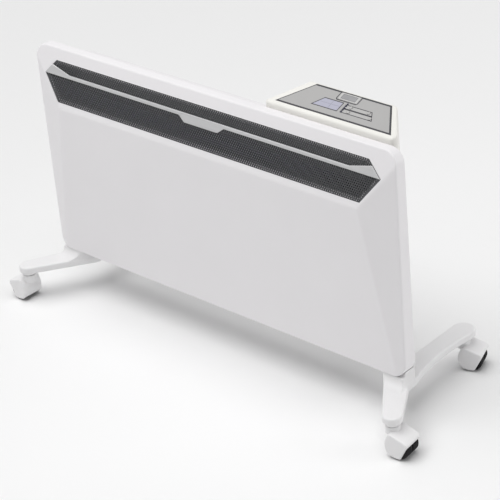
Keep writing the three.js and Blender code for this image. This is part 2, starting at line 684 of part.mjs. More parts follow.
// ---------------------------------------------------------------- heating element
// fins on both sides of a core, as one closed outline in (y, z)
function finOutline() {
  const top = ((FIN_COUNT - 1) * FIN_PITCH + FIN_SHEET) / 2;
  const half = [];
  for (let fin = 0; fin < FIN_COUNT; fin += 1) {
    const low = -top + fin * FIN_PITCH;
    half.push([CORE_HALF, low], [CORE_HALF + FIN_REACH, low], [CORE_HALF + FIN_REACH, low + FIN_SHEET],
      [CORE_HALF, low + FIN_SHEET]);
  }
  const other = half.map(([y, z]) => [-y, -z]);
  return [...half, ...other].map(([y, z]) => [y + ELEMENT_BACK, z + ELEMENT_LIFT]);
}

function finnedProfile() {
  const shape = shapeOf(finOutline());
  shape.holes.push(new THREE.Path().absarc(ELEMENT_BACK, ELEMENT_LIFT, ROD_RADIUS + CLEARANCE, 0,
    Math.PI * 2, true));
  const geometry = new THREE.ExtrudeGeometry(shape,
    { depth: 2 * ELEMENT_HALF, bevelEnabled: false, curveSegments: 9 });
  const turn = new THREE.Matrix4().makeBasis(
    new THREE.Vector3(0, 1, 0), new THREE.Vector3(0, 0, 1), new THREE.Vector3(1, 0, 0));
  return geometry.applyMatrix4(turn).translate(-ELEMENT_HALF, 0, 0);
}

const bracketNear = ELEMENT_HALF + BRACKET_GAP;
const bracketFar = bracketNear + BRACKET_SHEET;
const bracketBack = coverInnerBack - CLEARANCE;

// sheet bracket for the right end: a plate across the rod and a foot against the rear wall
function elementBracket() {
  const low = ELEMENT_LIFT - BRACKET_BELOW;
  const high = ELEMENT_LIFT + BRACKET_ABOVE;
  const front = ELEMENT_BACK - CORE_HALF - INSULATOR_RADIUS;
  const plate = box(bracketNear, bracketFar, front, bracketBack, low, high);
  const foot = box(bracketNear, bracketNear + BRACKET_FOOT,
    bracketBack - BRACKET_SHEET, bracketBack, low, high);
  const hole = cylinderAcross(INSULATOR_RADIUS + CLEARANCE, ELEMENT_BACK, ELEMENT_LIFT,
    bracketNear - 1, bracketFar + 1);
  return cut(join(plate, foot), hole);
}

// ceramic bush that carries the rod in the bracket
function endInsulator() {
  const inner = ELEMENT_HALF + CLEARANCE;
  const neck = cylinderAcross(INSULATOR_RADIUS, ELEMENT_BACK, ELEMENT_LIFT,
    inner, bracketFar + INSULATOR_FLANGE_DEPTH);
  const flange = cylinderAcross(INSULATOR_FLANGE, ELEMENT_BACK, ELEMENT_LIFT,
    bracketNear - CLEARANCE - INSULATOR_FLANGE_DEPTH, bracketNear - CLEARANCE);
  const bore = cylinderAcross(ROD_RADIUS + CLEARANCE, ELEMENT_BACK, ELEMENT_LIFT,
    inner - 1, inner + ROD_END, 36);
  return cut(join(neck, flange), bore);
}

function heatingRod() {
  const end = ELEMENT_HALF + ROD_END;
  return cylinderAcross(ROD_RADIUS, ELEMENT_BACK, ELEMENT_LIFT, -end, end, 24);
}

// bent sheet, drawn as a polyline in (y, z) with its thickness laid to one side
function airGuide() {
  const front = flangeFront - CLEARANCE;
  const reach = front - GUIDE_SHEET;
  const foot = coverInnerBack - CLEARANCE;
  const lip = reach - 12;
  const outer = [[foot, GUIDE_FOOT_LIFT], [front, GUIDE_BEND_LIFT], [front, GUIDE_TOP_LIFT],
    [lip, GUIDE_TOP_LIFT + 7]];
  const inner = [[lip, GUIDE_TOP_LIFT + 7 - GUIDE_SHEET * 1.2], [reach, GUIDE_TOP_LIFT - GUIDE_SHEET * 0.6],
    [reach, GUIDE_BEND_LIFT - GUIDE_SHEET * 0.4], [foot, GUIDE_FOOT_LIFT - GUIDE_SHEET * 1.4]];
  return slabAcross(shapeOf([...outer, ...inner]), -GUIDE_HALF, GUIDE_HALF);
}

// a small moulded case on the rear wall with a stepped front
function wallCase([width, depth, height], [x, lift]) {
  const back = coverInnerBack - CLEARANCE;
  const step = depth * 0.35;
  const base = box(x - width / 2, x + width / 2, back - depth + step, back,
    lift - height / 2, lift + height / 2);
  const crown = box(x - width * 0.32, x + width * 0.32, back - depth, back - step,
    lift - height * 0.3, lift + height * 0.3);
  return join(base, crown);
}

// ---------------------------------------------------------------- internal leads
function supplyLead() {
  const [x, y] = PLUG_PLACE;
  const start = UNIT_FLOOR - COVER_SHEET - CLEARANCE - SOCKET_DEPTH - CLEARANCE;
  const [terminalX, terminalLift] = TERMINAL_PLACE;
  const end = terminalLift + TERMINAL_SIZE[2] / 2 + CLEARANCE;
  const terminalBack = coverInnerBack - CLEARANCE - TERMINAL_SIZE[1] * 0.3;
  const side = GUIDE_HALF + 3 * LEAD_RADIUS;
  return lead([[x, y, start], [x, y, start - 7], [x + 20, y, start - 18], [side, y - 8, start - 36],
    [side, y - 4, GUIDE_FOOT_LIFT - 10], [terminalX + 12, terminalBack - 1, end + 14],
    [terminalX + 10, terminalBack, end + 7], [terminalX + 10, terminalBack, end]], LEAD_RADIUS, 34);
}

function elementLead() {
  const [terminalX, terminalLift] = TERMINAL_PLACE;
  const start = terminalLift - TERMINAL_SIZE[2] / 2 - CLEARANCE;
  const back = coverInnerBack - CLEARANCE - TERMINAL_SIZE[1] * 0.3;
  const end = ELEMENT_HALF + ROD_END + CLEARANCE;
  return lead([[terminalX + 16, back, start], [terminalX + 16, back, start - 7],
    [terminalX + 24, back - 3, start - 18],
    [end + 14, ELEMENT_BACK + 16, ELEMENT_LIFT + 40], [end + 14, ELEMENT_BACK + 2, ELEMENT_LIFT + 12],
    [end + 7, ELEMENT_BACK, ELEMENT_LIFT], [end, ELEMENT_BACK, ELEMENT_LIFT]], LEAD_RADIUS, 22);
}

function returnLead() {
  const [terminalX, terminalLift] = TERMINAL_PLACE;
  const start = terminalLift - TERMINAL_SIZE[2] / 2 - CLEARANCE;
  const back = coverInnerBack - CLEARANCE - TERMINAL_SIZE[1] * 0.3;
  const wall = coverInnerBack - 2 * LEAD_RADIUS;
  const high = ELEMENT_LIFT + BRACKET_ABOVE + 8;
  const end = -ELEMENT_HALF - ROD_END - CLEARANCE;
  return lead([[terminalX - 14, back, start], [terminalX - 14, back, start - 7],
    [terminalX - 24, wall - 2, start - 18],
    [terminalX - 60, wall, high], [terminalX - 120, wall, high], [-ELEMENT_HALF + 90, wall, high],
    [-ELEMENT_HALF + 30, wall, high], [end - 8, wall - 12, high - 14],
    [end - 14, ELEMENT_BACK + 4, ELEMENT_LIFT + 14],
    [end - 7, ELEMENT_BACK, ELEMENT_LIFT], [end, ELEMENT_BACK, ELEMENT_LIFT]], LEAD_RADIUS, 48);
}

// ---------------------------------------------------------------- control unit
const unitPlan = [
  [UNIT_FRONT_LEFT, unitFront], [UNIT_FRONT_RIGHT, unitFront],
  [UNIT_FRONT_RIGHT - UNIT_TAPER, unitBack], [UNIT_FRONT_LEFT + UNIT_TAPER, unitBack],
];

const labelPlan = [
  [LABEL_LEFT, 0], [LABEL_RIGHT, 0],
  [LABEL_RIGHT - LABEL_TAPER_RIGHT, LABEL_DEPTH], [LABEL_LEFT + LABEL_TAPER_LEFT, LABEL_DEPTH],
];

function unitTopAt(y, drop) {
  return LABEL_FRONT_LIFT + (y - unitFront - LABEL_SETBACK) * Math.tan(topLean) - drop;
}

function unitRing(inset, liftAt) {
  return rounded(grown(unitPlan, -inset), UNIT_CORNER - inset, 5).map(([x, y]) => [x, y, liftAt(y)]);
}

function onLabel(geometry) {
  return geometry.applyMatrix4(labelFrame);
}

function boxOnLabel(x0, x1, y0, y1, z0, z1) {
  return onLabel(box(x0, x1, y0, y1, z0, z1));
}

function keyBore([x, rise], radius) {
  return onLabel(cylinderUp(radius, x, rise, -3 * UNIT_WALL - LABEL_POCKET, UNIT_WALL, 14));
}

function lampPlaces() {
  return Array.from({ length: LAMP_COUNT }, (_, i) => [LAMP_PLACE[0], LAMP_PLACE[1] + i * LAMP_PITCH]);
}

function controlHousing() {
  const outside = loft([
    unitRing(0, () => unitBottom),
    unitRing(0, (y) => unitTopAt(y, UNIT_EDGE)),
    unitRing(UNIT_EDGE * 0.3, (y) => unitTopAt(y, UNIT_EDGE * 0.3)),
    unitRing(UNIT_EDGE, (y) => unitTopAt(y, 0)),
  ]);
  const skin = UNIT_WALL + LABEL_POCKET;
  const inside = loft([
    unitRing(UNIT_WALL, () => unitBottom - 1),
    unitRing(UNIT_WALL, (y) => unitTopAt(y, skin)),
  ]);
  const pocket = onLabel(slabUp(shapeOf(grown(labelPlan, CLEARANCE)), -LABEL_POCKET, UNIT_EDGE));
  const windowHole = boxOnLabel(WINDOW_LEFT - CLEARANCE, WINDOW_RIGHT + CLEARANCE, WINDOW_FRONT - CLEARANCE,
    WINDOW_BACK + CLEARANCE, -3 * UNIT_WALL, UNIT_WALL);
  const keyHoles = Object.values(KEY_PLACES).map((place) => keyBore(place, KEY_RADIUS + 2 * CLEARANCE));
  const [lampX, lampFirst] = LAMP_PLACE;
  const lampRoom = LAMP_RADIUS + CLEARANCE;
  const lampLast = lampFirst + (LAMP_COUNT - 1) * LAMP_PITCH;
  const lampHole = boxOnLabel(lampX - lampRoom, lampX + lampRoom, lampFirst - lampRoom, lampLast + lampRoom,
    -3 * UNIT_WALL, UNIT_WALL);
  return cut(outside, inside, pocket, windowHole, ...keyHoles, lampHole, rockerHole(), glandHole());
}

function labelPlate() {
  const under = -LABEL_POCKET + CLEARANCE;
  const plate = slabUp(shapeOf(labelPlan), under, under + LABEL_SHEET);
  onLabel(plate);
  const windowHole = boxOnLabel(WINDOW_LEFT - CLEARANCE, WINDOW_RIGHT + CLEARANCE, WINDOW_FRONT - CLEARANCE,
    WINDOW_BACK + CLEARANCE, -UNIT_WALL, UNIT_WALL);
  const keyHoles = Object.values(KEY_PLACES).map((place) => keyBore(place, KEY_RADIUS + CLEARANCE));
  const lampHoles = lampPlaces().map((place) => keyBore(place, LAMP_RADIUS + CLEARANCE));
  return cut(plate, windowHole, ...keyHoles, ...lampHoles);
}

const boardTop = -BOARD_DROP;

function displayWindow() {
  const top = -LABEL_POCKET + CLEARANCE + LABEL_SHEET;
  const pane = boxOnLabel(WINDOW_LEFT, WINDOW_RIGHT, WINDOW_FRONT, WINDOW_BACK, top - WINDOW_THICKNESS, top);
  const inset = 3;
  const stand = boxOnLabel(WINDOW_LEFT + inset, WINDOW_RIGHT - inset,
    WINDOW_FRONT + inset, WINDOW_BACK - inset, boardTop + CLEARANCE, top - WINDOW_THICKNESS / 2);
  return join(pane, stand);
}

function indicatorLamps() {
  const base = -LABEL_POCKET - UNIT_WALL;
  const last = LAMP_PLACE[1] + (LAMP_COUNT - 1) * LAMP_PITCH;
  const bar = boxOnLabel(LAMP_PLACE[0] - LAMP_RADIUS, LAMP_PLACE[0] + LAMP_RADIUS,
    LAMP_PLACE[1] - LAMP_RADIUS, last + LAMP_RADIUS, boardTop + CLEARANCE, base + 1);
  const lenses = lampPlaces().map(([x, rise]) =>
    onLabel(cylinderUp(LAMP_RADIUS, x, rise, base, -LABEL_POCKET + LABEL_SHEET + 2 * CLEARANCE, 12)));
  return join(bar, ...lenses);
}

// a round push key with a domed cap; its stem reaches down to the board
function pushKey([x, rise]) {
  const top = -LABEL_POCKET + CLEARANCE + LABEL_SHEET + KEY_RISE;
  const dome = 0.5;
  const profile = [[0, top - KEY_STEM], [KEY_RADIUS * 0.5, top - KEY_STEM], [KEY_RADIUS * 0.5, top - 4],
    [KEY_RADIUS, top - 4], [KEY_RADIUS, top - dome], [KEY_RADIUS * 0.7, top - dome * 0.2], [0, top]];
  const key = new THREE.LatheGeometry(profile.map(([r, z]) => new THREE.Vector2(r, z)), 14);
  return onLabel(key.rotateX(Math.PI / 2).translate(x, rise, 0));
}

function circuitBoard() {
  const plan = grown(labelPlan, -BOARD_MARGIN);
  const board = slabUp(shapeOf(plan), boardTop - BOARD_SHEET, boardTop);
  return onLabel(board);
}

function boardRelay() {
  const [x, rise] = RELAY_PLACE;
  const [width, depth, height] = RELAY_SIZE;
  const top = boardTop - BOARD_SHEET - CLEARANCE;
  return boxOnLabel(x - width / 2, x + width / 2, rise - depth / 2, rise + depth / 2, top - height, top);
}

// floor plate of the unit with four posts that carry the circuit board
function controlBase() {
  const inset = UNIT_WALL + CLEARANCE;
  const outline = rounded(grown(unitPlan, -inset), UNIT_CORNER - inset, 5);
  const plateTop = unitBottom + UNIT_WALL;
  const plate = slabUp(shapeOf(outline), unitBottom, plateTop);
  const postRadius = 3;
  const posts = grown(labelPlan, -BOARD_MARGIN - 2 * postRadius).map(([x, rise]) => {
    const foot = new THREE.Vector3(x, rise, boardTop - BOARD_SHEET).applyMatrix4(labelFrame);
    const top = foot.z - postRadius * Math.tan(topLean) - CLEARANCE;
    return cylinderUp(postRadius, foot.x, foot.y, plateTop - 1, top, 12);
  });
  return join(plate, ...posts);
}

function plugBlock() {
  const [x, y] = PLUG_PLACE;
  const [width, depth] = PLUG_SIZE;
  const top = unitBottom - CLEARANCE;
  return join(box(x - width / 2, x + width / 2, y - depth / 2, y + depth / 2, top - PLUG_REACH, top));
}

// socket hung under the recess floor, open at the top for the plug
function supplySocket() {
  const [x, y] = PLUG_PLACE;
  const room = 2 * CLEARANCE;
  const halfX = PLUG_SIZE[0] / 2 + room;
  const halfY = PLUG_SIZE[1] / 2 + room;
  const top = UNIT_FLOOR - COVER_SHEET - CLEARANCE;
  const wall = SOCKET_WALL;
  const shell = box(x - halfX - wall, x + halfX + wall, y - halfY - wall, y + halfY + wall,
    top - SOCKET_DEPTH, top);
  return cut(shell, box(x - halfX, x + halfX, y - halfY, y + halfY, top - SOCKET_DEPTH + wall, top + 1));
}

// ---------------------------------------------------------------- switch and gland in the slanted left side
// local frame of the slanted left side: x along it from the rear corner, y inwards, z up
const sideFrame = new THREE.Matrix4().makeRotationZ(Math.PI + Math.atan2(UNIT_DEPTH, UNIT_TAPER))
  .setPosition(UNIT_FRONT_LEFT + UNIT_TAPER, unitBack, 0);

function onSide(geometry) {
  return geometry.applyMatrix4(sideFrame);
}

function rockerHole() {
  const halfLength = ROCKER_LENGTH / 2 + 3 * CLEARANCE;
  const halfWidth = ROCKER_WIDTH / 2 + CLEARANCE;
  return onSide(box(ROCKER_ALONG - halfWidth, ROCKER_ALONG + halfWidth, -3 * UNIT_WALL, 3 * UNIT_WALL,
    ROCKER_LIFT - halfLength, ROCKER_LIFT + halfLength));
}

function glandHole() {
  return onSide(cylinderBack(GLAND_RADIUS + CLEARANCE, GLAND_ALONG, GLAND_LIFT,
    -3 * UNIT_WALL, 3 * UNIT_WALL));
}

// rocker with a bent face; it tips about a level pin along the wall and rests tipped to one side
function powerRocker() {
  const half = ROCKER_LENGTH / 2;
  const proud = 1.2;
  const rise = half * Math.tan(THREE.MathUtils.degToRad(ROCKER_TILT));
  const outline = [[-proud, -half], [-proud + rise * 0.6, 0], [-proud, half],
    [ROCKER_DEPTH * 0.5, half * 0.92], [ROCKER_DEPTH, 2],
    [ROCKER_DEPTH, -2], [ROCKER_DEPTH * 0.5, -half * 0.92]];
  const body = slabAcross(shapeOf(outline.reverse()), -ROCKER_WIDTH / 2, ROCKER_WIDTH / 2);
  const pin = ROCKER_DEPTH / 2;
  body.translate(0, -pin, 0).rotateX(-THREE.MathUtils.degToRad(ROCKER_TILT)).translate(0, pin, 0);
  return onSide(body.translate(ROCKER_ALONG, 0, ROCKER_LIFT));
}

// frame behind the wall that carries the rocker's pin
function rockerFrame() {
  const inner = UNIT_WALL + CLEARANCE;
  const halfWidth = ROCKER_WIDTH / 2 + 2 * CLEARANCE;
  const halfLength = ROCKER_LENGTH / 2 + 4 * CLEARANCE;
  const wall = 2;
  const depth = 12;
  const frame = box(ROCKER_ALONG - halfWidth - wall, ROCKER_ALONG + halfWidth + wall, inner, inner + depth,
    ROCKER_LIFT - halfLength - wall, ROCKER_LIFT + halfLength + wall);
  const room = box(ROCKER_ALONG - halfWidth, ROCKER_ALONG + halfWidth, inner - 1, inner + depth - wall,
    ROCKER_LIFT - halfLength, ROCKER_LIFT + halfLength);
  return onSide(cut(frame, room));
}

function cordGland() {
  const outer = cylinderBack(GLAND_FLANGE, GLAND_ALONG, GLAND_LIFT, -GLAND_REACH * 0.4, -CLEARANCE, 24);
  const sleeve = cylinderBack(GLAND_RADIUS, GLAND_ALONG, GLAND_LIFT, -GLAND_REACH, UNIT_WALL * 2, 24);
  const bore = cylinderBack(GLAND_BORE, GLAND_ALONG, GLAND_LIFT, -GLAND_REACH - 1, UNIT_WALL * 2 + 1, 16);
  return onSide(cut(join(outer, sleeve), bore));
}

// ---------------------------------------------------------------- feet
// plan of the right foot: out along the front arm, round its toe, back along the rear arm
function footPlan() {
  const [frontX, frontY] = FOOT_FRONT_TOE;
  const [rearX, rearY] = FOOT_REAR_TOE;
  const r = REAR_TOE_RADIUS;
  const innerStart = new THREE.Vector2(FOOT_INNER, RIM_DEPTH);
  const outerStart = new THREE.Vector2(FOOT_OUTER, FOOT_BEND);
  const toe = new THREE.Vector2(frontX, frontY);
  const innerTouch = tangentPoint(innerStart, toe, FRONT_TOE_RADIUS, -1);
  const outerTouch = tangentPoint(outerStart, toe, FRONT_TOE_RADIUS, 1);
  const innerAngle = innerTouch.clone().sub(toe).angle();
  const outerAngle = outerTouch.clone().sub(toe).angle();
  const shape = new THREE.Shape();
  shape.moveTo(innerStart.x, innerStart.y);
  shape.lineTo(innerTouch.x, innerTouch.y);
  shape.absarc(frontX, frontY, FRONT_TOE_RADIUS, innerAngle, outerAngle, false);
  shape.lineTo(outerStart.x + 3, outerStart.y - 6);
  shape.quadraticCurveTo(outerStart.x, outerStart.y, outerStart.x, RIM_DEPTH);
  shape.lineTo(outerStart.x, flangeBack + CLEARANCE + TAB_SHEET);
  shape.quadraticCurveTo(FOOT_WAIST, FOOT_WAIST_BACK, rearX + r, rearY);
  shape.absarc(rearX, rearY, r, 0, Math.PI, false);
  shape.lineTo(rearX - r, PAD_END + r);
  shape.quadraticCurveTo(rearX - r, PAD_END - r / 2, FOOT_INNER, RIM_DEPTH + 2 * FOOT_EDGE);
  shape.closePath();
  return shape;
}

// where the line from `from` touches a circle, on its left (1) or right (-1) side as seen from the start
function tangentPoint(from, centre, radius, side) {
  const away = from.clone().sub(centre);
  const turn = Math.acos(radius / away.length());
  return away.setLength(radius).rotateAround(new THREE.Vector2(), side * -turn).add(centre);
}

function foot() {
  const slab = new THREE.ExtrudeGeometry(footPlan(), {
    depth: FOOT_THICKNESS - 2 * FOOT_EDGE, curveSegments: 6, bevelEnabled: true, bevelSegments: 1,
    bevelThickness: FOOT_EDGE, bevelSize: FOOT_EDGE, bevelOffset: -FOOT_EDGE,
  }).translate(0, 0, footBottom + FOOT_EDGE);
  const rootLift = FOOT_TOP - FOOT_EDGE;
  const outerFace = FOOT_OUTER - CLEARANCE;
  const riserPlan = [[FOOT_INNER + FOOT_EDGE, RIM_DEPTH], [RISER_INNER, RISER_FRONT],
    [outerFace, RISER_FRONT], [outerFace, RIM_DEPTH]];
  const riser = slabUp(shapeOf(riserPlan), rootLift, PANEL_BOTTOM - CLEARANCE);
  const pad = box(PAD_INNER, PAD_OUTER, flangeBack + CLEARANCE, PAD_END, rootLift, COVER_BOTTOM - CLEARANCE);
  const tab = box(outerFace - TAB_WIDTH, outerFace, flangeBack + CLEARANCE,
    flangeBack + CLEARANCE + TAB_SHEET, rootLift, TAB_TOP);
  const toes = [FOOT_FRONT_TOE, FOOT_REAR_TOE];
  const collars = toes.map(([x, y]) =>
    cylinderUp(COLLAR_RADIUS, x, y, collarBottom, footBottom + FOOT_EDGE + 1, 28));
  const stemBores = toes.map(([x, y]) => cylinderUp(STEM_RADIUS + CLEARANCE, x, y, collarBottom - 1,
    collarBottom + STEM_REACH + CLEARANCE, 16));
  const screwBores = FOOT_SCREW_ROWS.map((row) =>
    cylinderUp(SCREW_RADIUS + CLEARANCE, FOOT_SCREW_X, row, footBottom - 1, COVER_BOTTOM + 1, 16));
  const screwPockets = FOOT_SCREW_ROWS.map((row) =>
    cylinderUp(SCREW_HEAD_RADIUS + 1, FOOT_SCREW_X, row, footBottom - 1, footBottom + footScrewSink, 16));
  return cut(join(slab, riser, pad, tab, ...collars), ...stemBores, ...screwBores, ...screwPockets);
}

const footScrewSink = 20;
const footScrewLength = COVER_BOTTOM + COVER_SHEET + 4 - footBottom - footScrewSink;

// ---------------------------------------------------------------- castors
// castor frame: z up from the floor, origin on the swivel axis, the wheels trail along +x
function castorHood() {
  const front = -HOOD_FRONT;
  const outline = shapeOf([
    [HOOD_TAIL_FOOT, HOOD_BOTTOM], [HOOD_TAIL, HOOD_TAIL_LIFT], [HOOD_TAIL - 3, HOOD_TAIL_LIFT + 4],
    [HOOD_TAIL - 8, HOOD_TAIL_LIFT + 6.5], [NECK_RADIUS / 2, HOOD_CROWN], [front + 7, HOOD_CROWN - 3],
    [front + 1.5, HOOD_CROWN - 15], [front, WHEEL_RADIUS + 4], [front + 2.5, WHEEL_RADIUS - 8],
    [front + 9.5, HOOD_BOTTOM + 2], [CASTOR_TRAIL - 4, HOOD_BOTTOM],
  ]);
  const shell = new THREE.ExtrudeGeometry(outline, {
    depth: 2 * (hoodHalf - HOOD_EDGE), bevelEnabled: true, bevelSegments: 2,
    bevelThickness: HOOD_EDGE, bevelSize: HOOD_EDGE, bevelOffset: -HOOD_EDGE,
  }).rotateX(Math.PI / 2).translate(0, hoodHalf - HOOD_EDGE, 0);
  const room = WHEEL_RADIUS + HOOD_CAVITY;
  const roomHalf = hoodHalf - HOOD_SIDE;
  const roomSide = room - WHEEL_SHOULDER;
  const cavityProfile = [[0, -roomHalf], [roomSide, -roomHalf], [room, -roomHalf + WHEEL_SHOULDER],
    [room, roomHalf - WHEEL_SHOULDER], [roomSide, roomHalf], [0, roomHalf]];
  const cavity = new THREE.LatheGeometry(cavityProfile.map(([r, y]) => new THREE.Vector2(r, y)), 26)
    .translate(CASTOR_TRAIL, 0, WHEEL_RADIUS);
  const neck = cylinderUp(NECK_RADIUS, 0, 0, HOOD_CROWN - 8, collarBottom - CLEARANCE, 28);
  const stem = cylinderUp(STEM_RADIUS, 0, 0, collarBottom - 2, collarBottom + STEM_REACH, 16);
  const below = box(-BIG, BIG, -BIG, BIG, -BIG, HOOD_BOTTOM);
  const axleBore = cylinderBack(AXLE_RADIUS + CLEARANCE / 2, CASTOR_TRAIL, WHEEL_RADIUS, -BIG, BIG);
  return cut(join(shell, neck, stem), cavity, openTail(), below, axleBore);
}

// the slanted cut that leaves the wheels' treads uncovered
function openTail() {
  const reach = 2 * WHEEL_RADIUS;
  const lean = (HOOD_TAIL - HOOD_TAIL_FOOT) / (HOOD_TAIL_LIFT - HOOD_BOTTOM);
  const tail = shapeOf([[HOOD_TAIL_FOOT - lean * HOOD_BOTTOM, 0], [HOOD_TAIL + reach, 0],
    [HOOD_TAIL + reach, HOOD_TAIL_LIFT], [HOOD_TAIL, HOOD_TAIL_LIFT]]);
  return slabBack(tail, -2 * hoodHalf, 2 * hoodHalf);
}

function castorWheel(side) {
  const near = WHEEL_GAP / 2;
  const far = near + WHEEL_WIDTH;
  const bore = AXLE_RADIUS + CLEARANCE;
  const edge = WHEEL_RADIUS - WHEEL_SHOULDER;
  const profile = [[bore, near], [edge, near], [WHEEL_RADIUS, near + WHEEL_SHOULDER],
    [WHEEL_RADIUS, far - WHEEL_SHOULDER], [edge, far], [bore, far], [bore, near]];
  const ordered = side > 0 ? profile : profile.map(([r, y]) => [r, -y]).reverse();
  const wheel = new THREE.LatheGeometry(ordered.map(([r, y]) => new THREE.Vector2(r, y)), 26);
  return wheel.translate(CASTOR_TRAIL, 0, WHEEL_RADIUS);
}

function castorAxle() {
  return cylinderBack(AXLE_RADIUS, CASTOR_TRAIL, WHEEL_RADIUS, -hoodHalf, hoodHalf, 18);
}

// ---------------------------------------------------------------- assembly
const heater = new THREE.Group();

function add(name, geometry, finish, parent = heater) {
  const mesh = new THREE.Mesh(geometry, new THREE.MeshStandardMaterial(FINISHES[finish]));
  mesh.name = name;
  parent.add(mesh);
  return mesh;
}

add('front_panel', frontPanel(), 'white');
add('upper_grille', upperGrille(), 'charcoal');
add('lower_grille', lowerGrille(), 'charcoal');
add('trim_strip', trimStrip(), 'silver');
add('rear_cover', rearCover(), 'white');
add('finned_profile', finnedProfile(), 'aluminium');
add('heating_rod', heatingRod(), 'steel');
add('air_guide', airGuide(), 'steel');
add('thermal_cutout', wallCase(CUTOUT_SIZE, CUTOUT_PLACE), 'black');
add('terminal_block', wallCase(TERMINAL_SIZE, TERMINAL_PLACE), 'cream');
add('tilt_switch', wallCase(TILT_SWITCH_SIZE, TILT_SWITCH_PLACE), 'black');
add('supply_socket', supplySocket(), 'black');
add('supply_lead', supplyLead(), 'grey');
add('element_lead', elementLead(), 'grey');
add('return_lead', returnLead(), 'grey');

const bracket = elementBracket();
const insulator = endInsulator();
add('element_bracket_right', bracket, 'steel');
add('element_bracket_left', mirrored(bracket), 'steel');
add('end_insulator_right', insulator, 'cream');
add('end_insulator_left', mirrored(insulator), 'cream');

const rightFoot = foot();
add('foot_right', rightFoot, 'white');
add('foot_left', mirrored(rightFoot), 'white');

caseScrewPlaces().forEach(([x, lift]) => {
  const name = `case_screw_${x > 0 ? 'right' : 'left'}_${lift === CASE_SCREW_HEIGHTS[0] ? 'low' : 'high'}`;
  const mesh = add(name, screw(SCREW_LENGTH), 'steel');
  mesh.position.set(x, flangeBack + CLEARANCE, lift);
  mesh.rotation.x = -Math.PI / 2;
});

for (const [label, side] of [['right', 1], ['left', -1]]) {
  FOOT_SCREW_ROWS.forEach((row, i) => {
    const mesh = add(`foot_screw_${label}_${i === 0 ? 'front' : 'rear'}`, screw(footScrewLength), 'steel');
    mesh.position.set(side * FOOT_SCREW_X, row, footBottom + footScrewSink - CLEARANCE);
    mesh.rotation.x = Math.PI;
  });
}

const controlUnit = new THREE.Group();
heater.add(controlUnit);
add('control_housing', controlHousing(), 'cream', controlUnit);
add('control_base', controlBase(), 'cream', controlUnit);
add('label_plate', labelPlate(), 'grey', controlUnit);
add('display_window', displayWindow(), 'smoke', controlUnit);
add('indicator_lamps', indicatorLamps(), 'blue', controlUnit);
add('circuit_board', circuitBoard(), 'green', controlUnit);
add('board_relay', boardRelay(), 'black', controlUnit);
add('plug_block', plugBlock(), 'black', controlUnit);
add('rocker_frame', rockerFrame(), 'black', controlUnit);
add('power_rocker', powerRocker(), 'black', controlUnit);
add('cord_gland', cordGland(), 'cream', controlUnit);
for (const [name, place] of Object.entries(KEY_PLACES)) add(name, pushKey(place), 'grey', controlUnit);

for (const [place, degrees] of Object.entries(CASTOR_TURNS)) {
  const [end, side] = place.split('_');
  const [x, y] = end === 'front' ? FOOT_FRONT_TOE : FOOT_REAR_TOE;
  const castor = new THREE.Group();
  castor.position.set(side === 'right' ? x : -x, y, 0);
  castor.rotation.z = THREE.MathUtils.degToRad(degrees);
  heater.add(castor);
  add(`castor_hood_${place}`, castorHood(), 'white', castor);
  add(`castor_axle_${place}`, castorAxle(), 'steel', castor);
  add(`castor_wheel_${place}_a`, castorWheel(1), 'black', castor);
  add(`castor_wheel_${place}_b`, castorWheel(-1), 'black', castor);
}

// centre the heater over its footprint
const middle = new THREE.Box3().setFromObject(heater).getCenter(new THREE.Vector3());
heater.position.set(-middle.x, -middle.y, 0);

const object = new THREE.Group();
object.add(heater);

export default object;
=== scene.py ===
"""Panel convector heater on castored feet: finished surfaces, light and camera round its solids."""
import json
import math

import bmesh
import bpy
from mathutils import Matrix, Vector


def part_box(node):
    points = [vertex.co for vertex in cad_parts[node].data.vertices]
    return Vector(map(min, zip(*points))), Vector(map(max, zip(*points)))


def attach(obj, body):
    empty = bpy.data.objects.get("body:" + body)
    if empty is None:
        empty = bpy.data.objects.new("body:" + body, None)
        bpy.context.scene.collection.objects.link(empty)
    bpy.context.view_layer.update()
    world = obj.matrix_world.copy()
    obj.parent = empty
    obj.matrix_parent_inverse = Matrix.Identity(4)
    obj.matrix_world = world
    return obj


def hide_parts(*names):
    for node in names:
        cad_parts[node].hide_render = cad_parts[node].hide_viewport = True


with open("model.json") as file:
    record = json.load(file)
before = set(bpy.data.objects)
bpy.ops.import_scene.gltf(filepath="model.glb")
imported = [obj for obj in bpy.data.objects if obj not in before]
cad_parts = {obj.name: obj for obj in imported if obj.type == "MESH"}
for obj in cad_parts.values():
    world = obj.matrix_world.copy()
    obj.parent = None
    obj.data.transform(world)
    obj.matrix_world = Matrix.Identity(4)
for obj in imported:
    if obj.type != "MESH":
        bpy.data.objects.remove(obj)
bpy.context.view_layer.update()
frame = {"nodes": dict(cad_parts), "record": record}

bl_info = {
    "name": "Panel convector heater",
    "version": (1, 0, 0),
    "blender": (4, 5, 0),
    "location": "3D View > Sidebar > Heater",
    "description": "Dresses the solids of a panel convector heater with surfaces, light and camera",
    "category": "Object",
}

# ------------------------ sizes of the solids, in millimetres
MM = 0.001
CLEARANCE = 0.3

# front panel: its outline stands upright, and its facets meet along folds
PANEL_WIDTH = 830
PANEL_BOTTOM = 93
PANEL_HEIGHT = 420
PANEL_TOP = PANEL_BOTTOM + PANEL_HEIGHT
PANEL_CORNER = 25
PANEL_WALL = 3
RIM_DEPTH = 20
FOLD_LIFT = PANEL_BOTTOM + 312
FOLD_REACH = 23.7
SILL_REACH = 10
UPPER_LEAN = math.radians(15)
RIDGE_TOP = 347
RIDGE_BOTTOM = 400
CORNER_REACH = 0.5
CORNER_LIFT = PANEL_TOP - 22

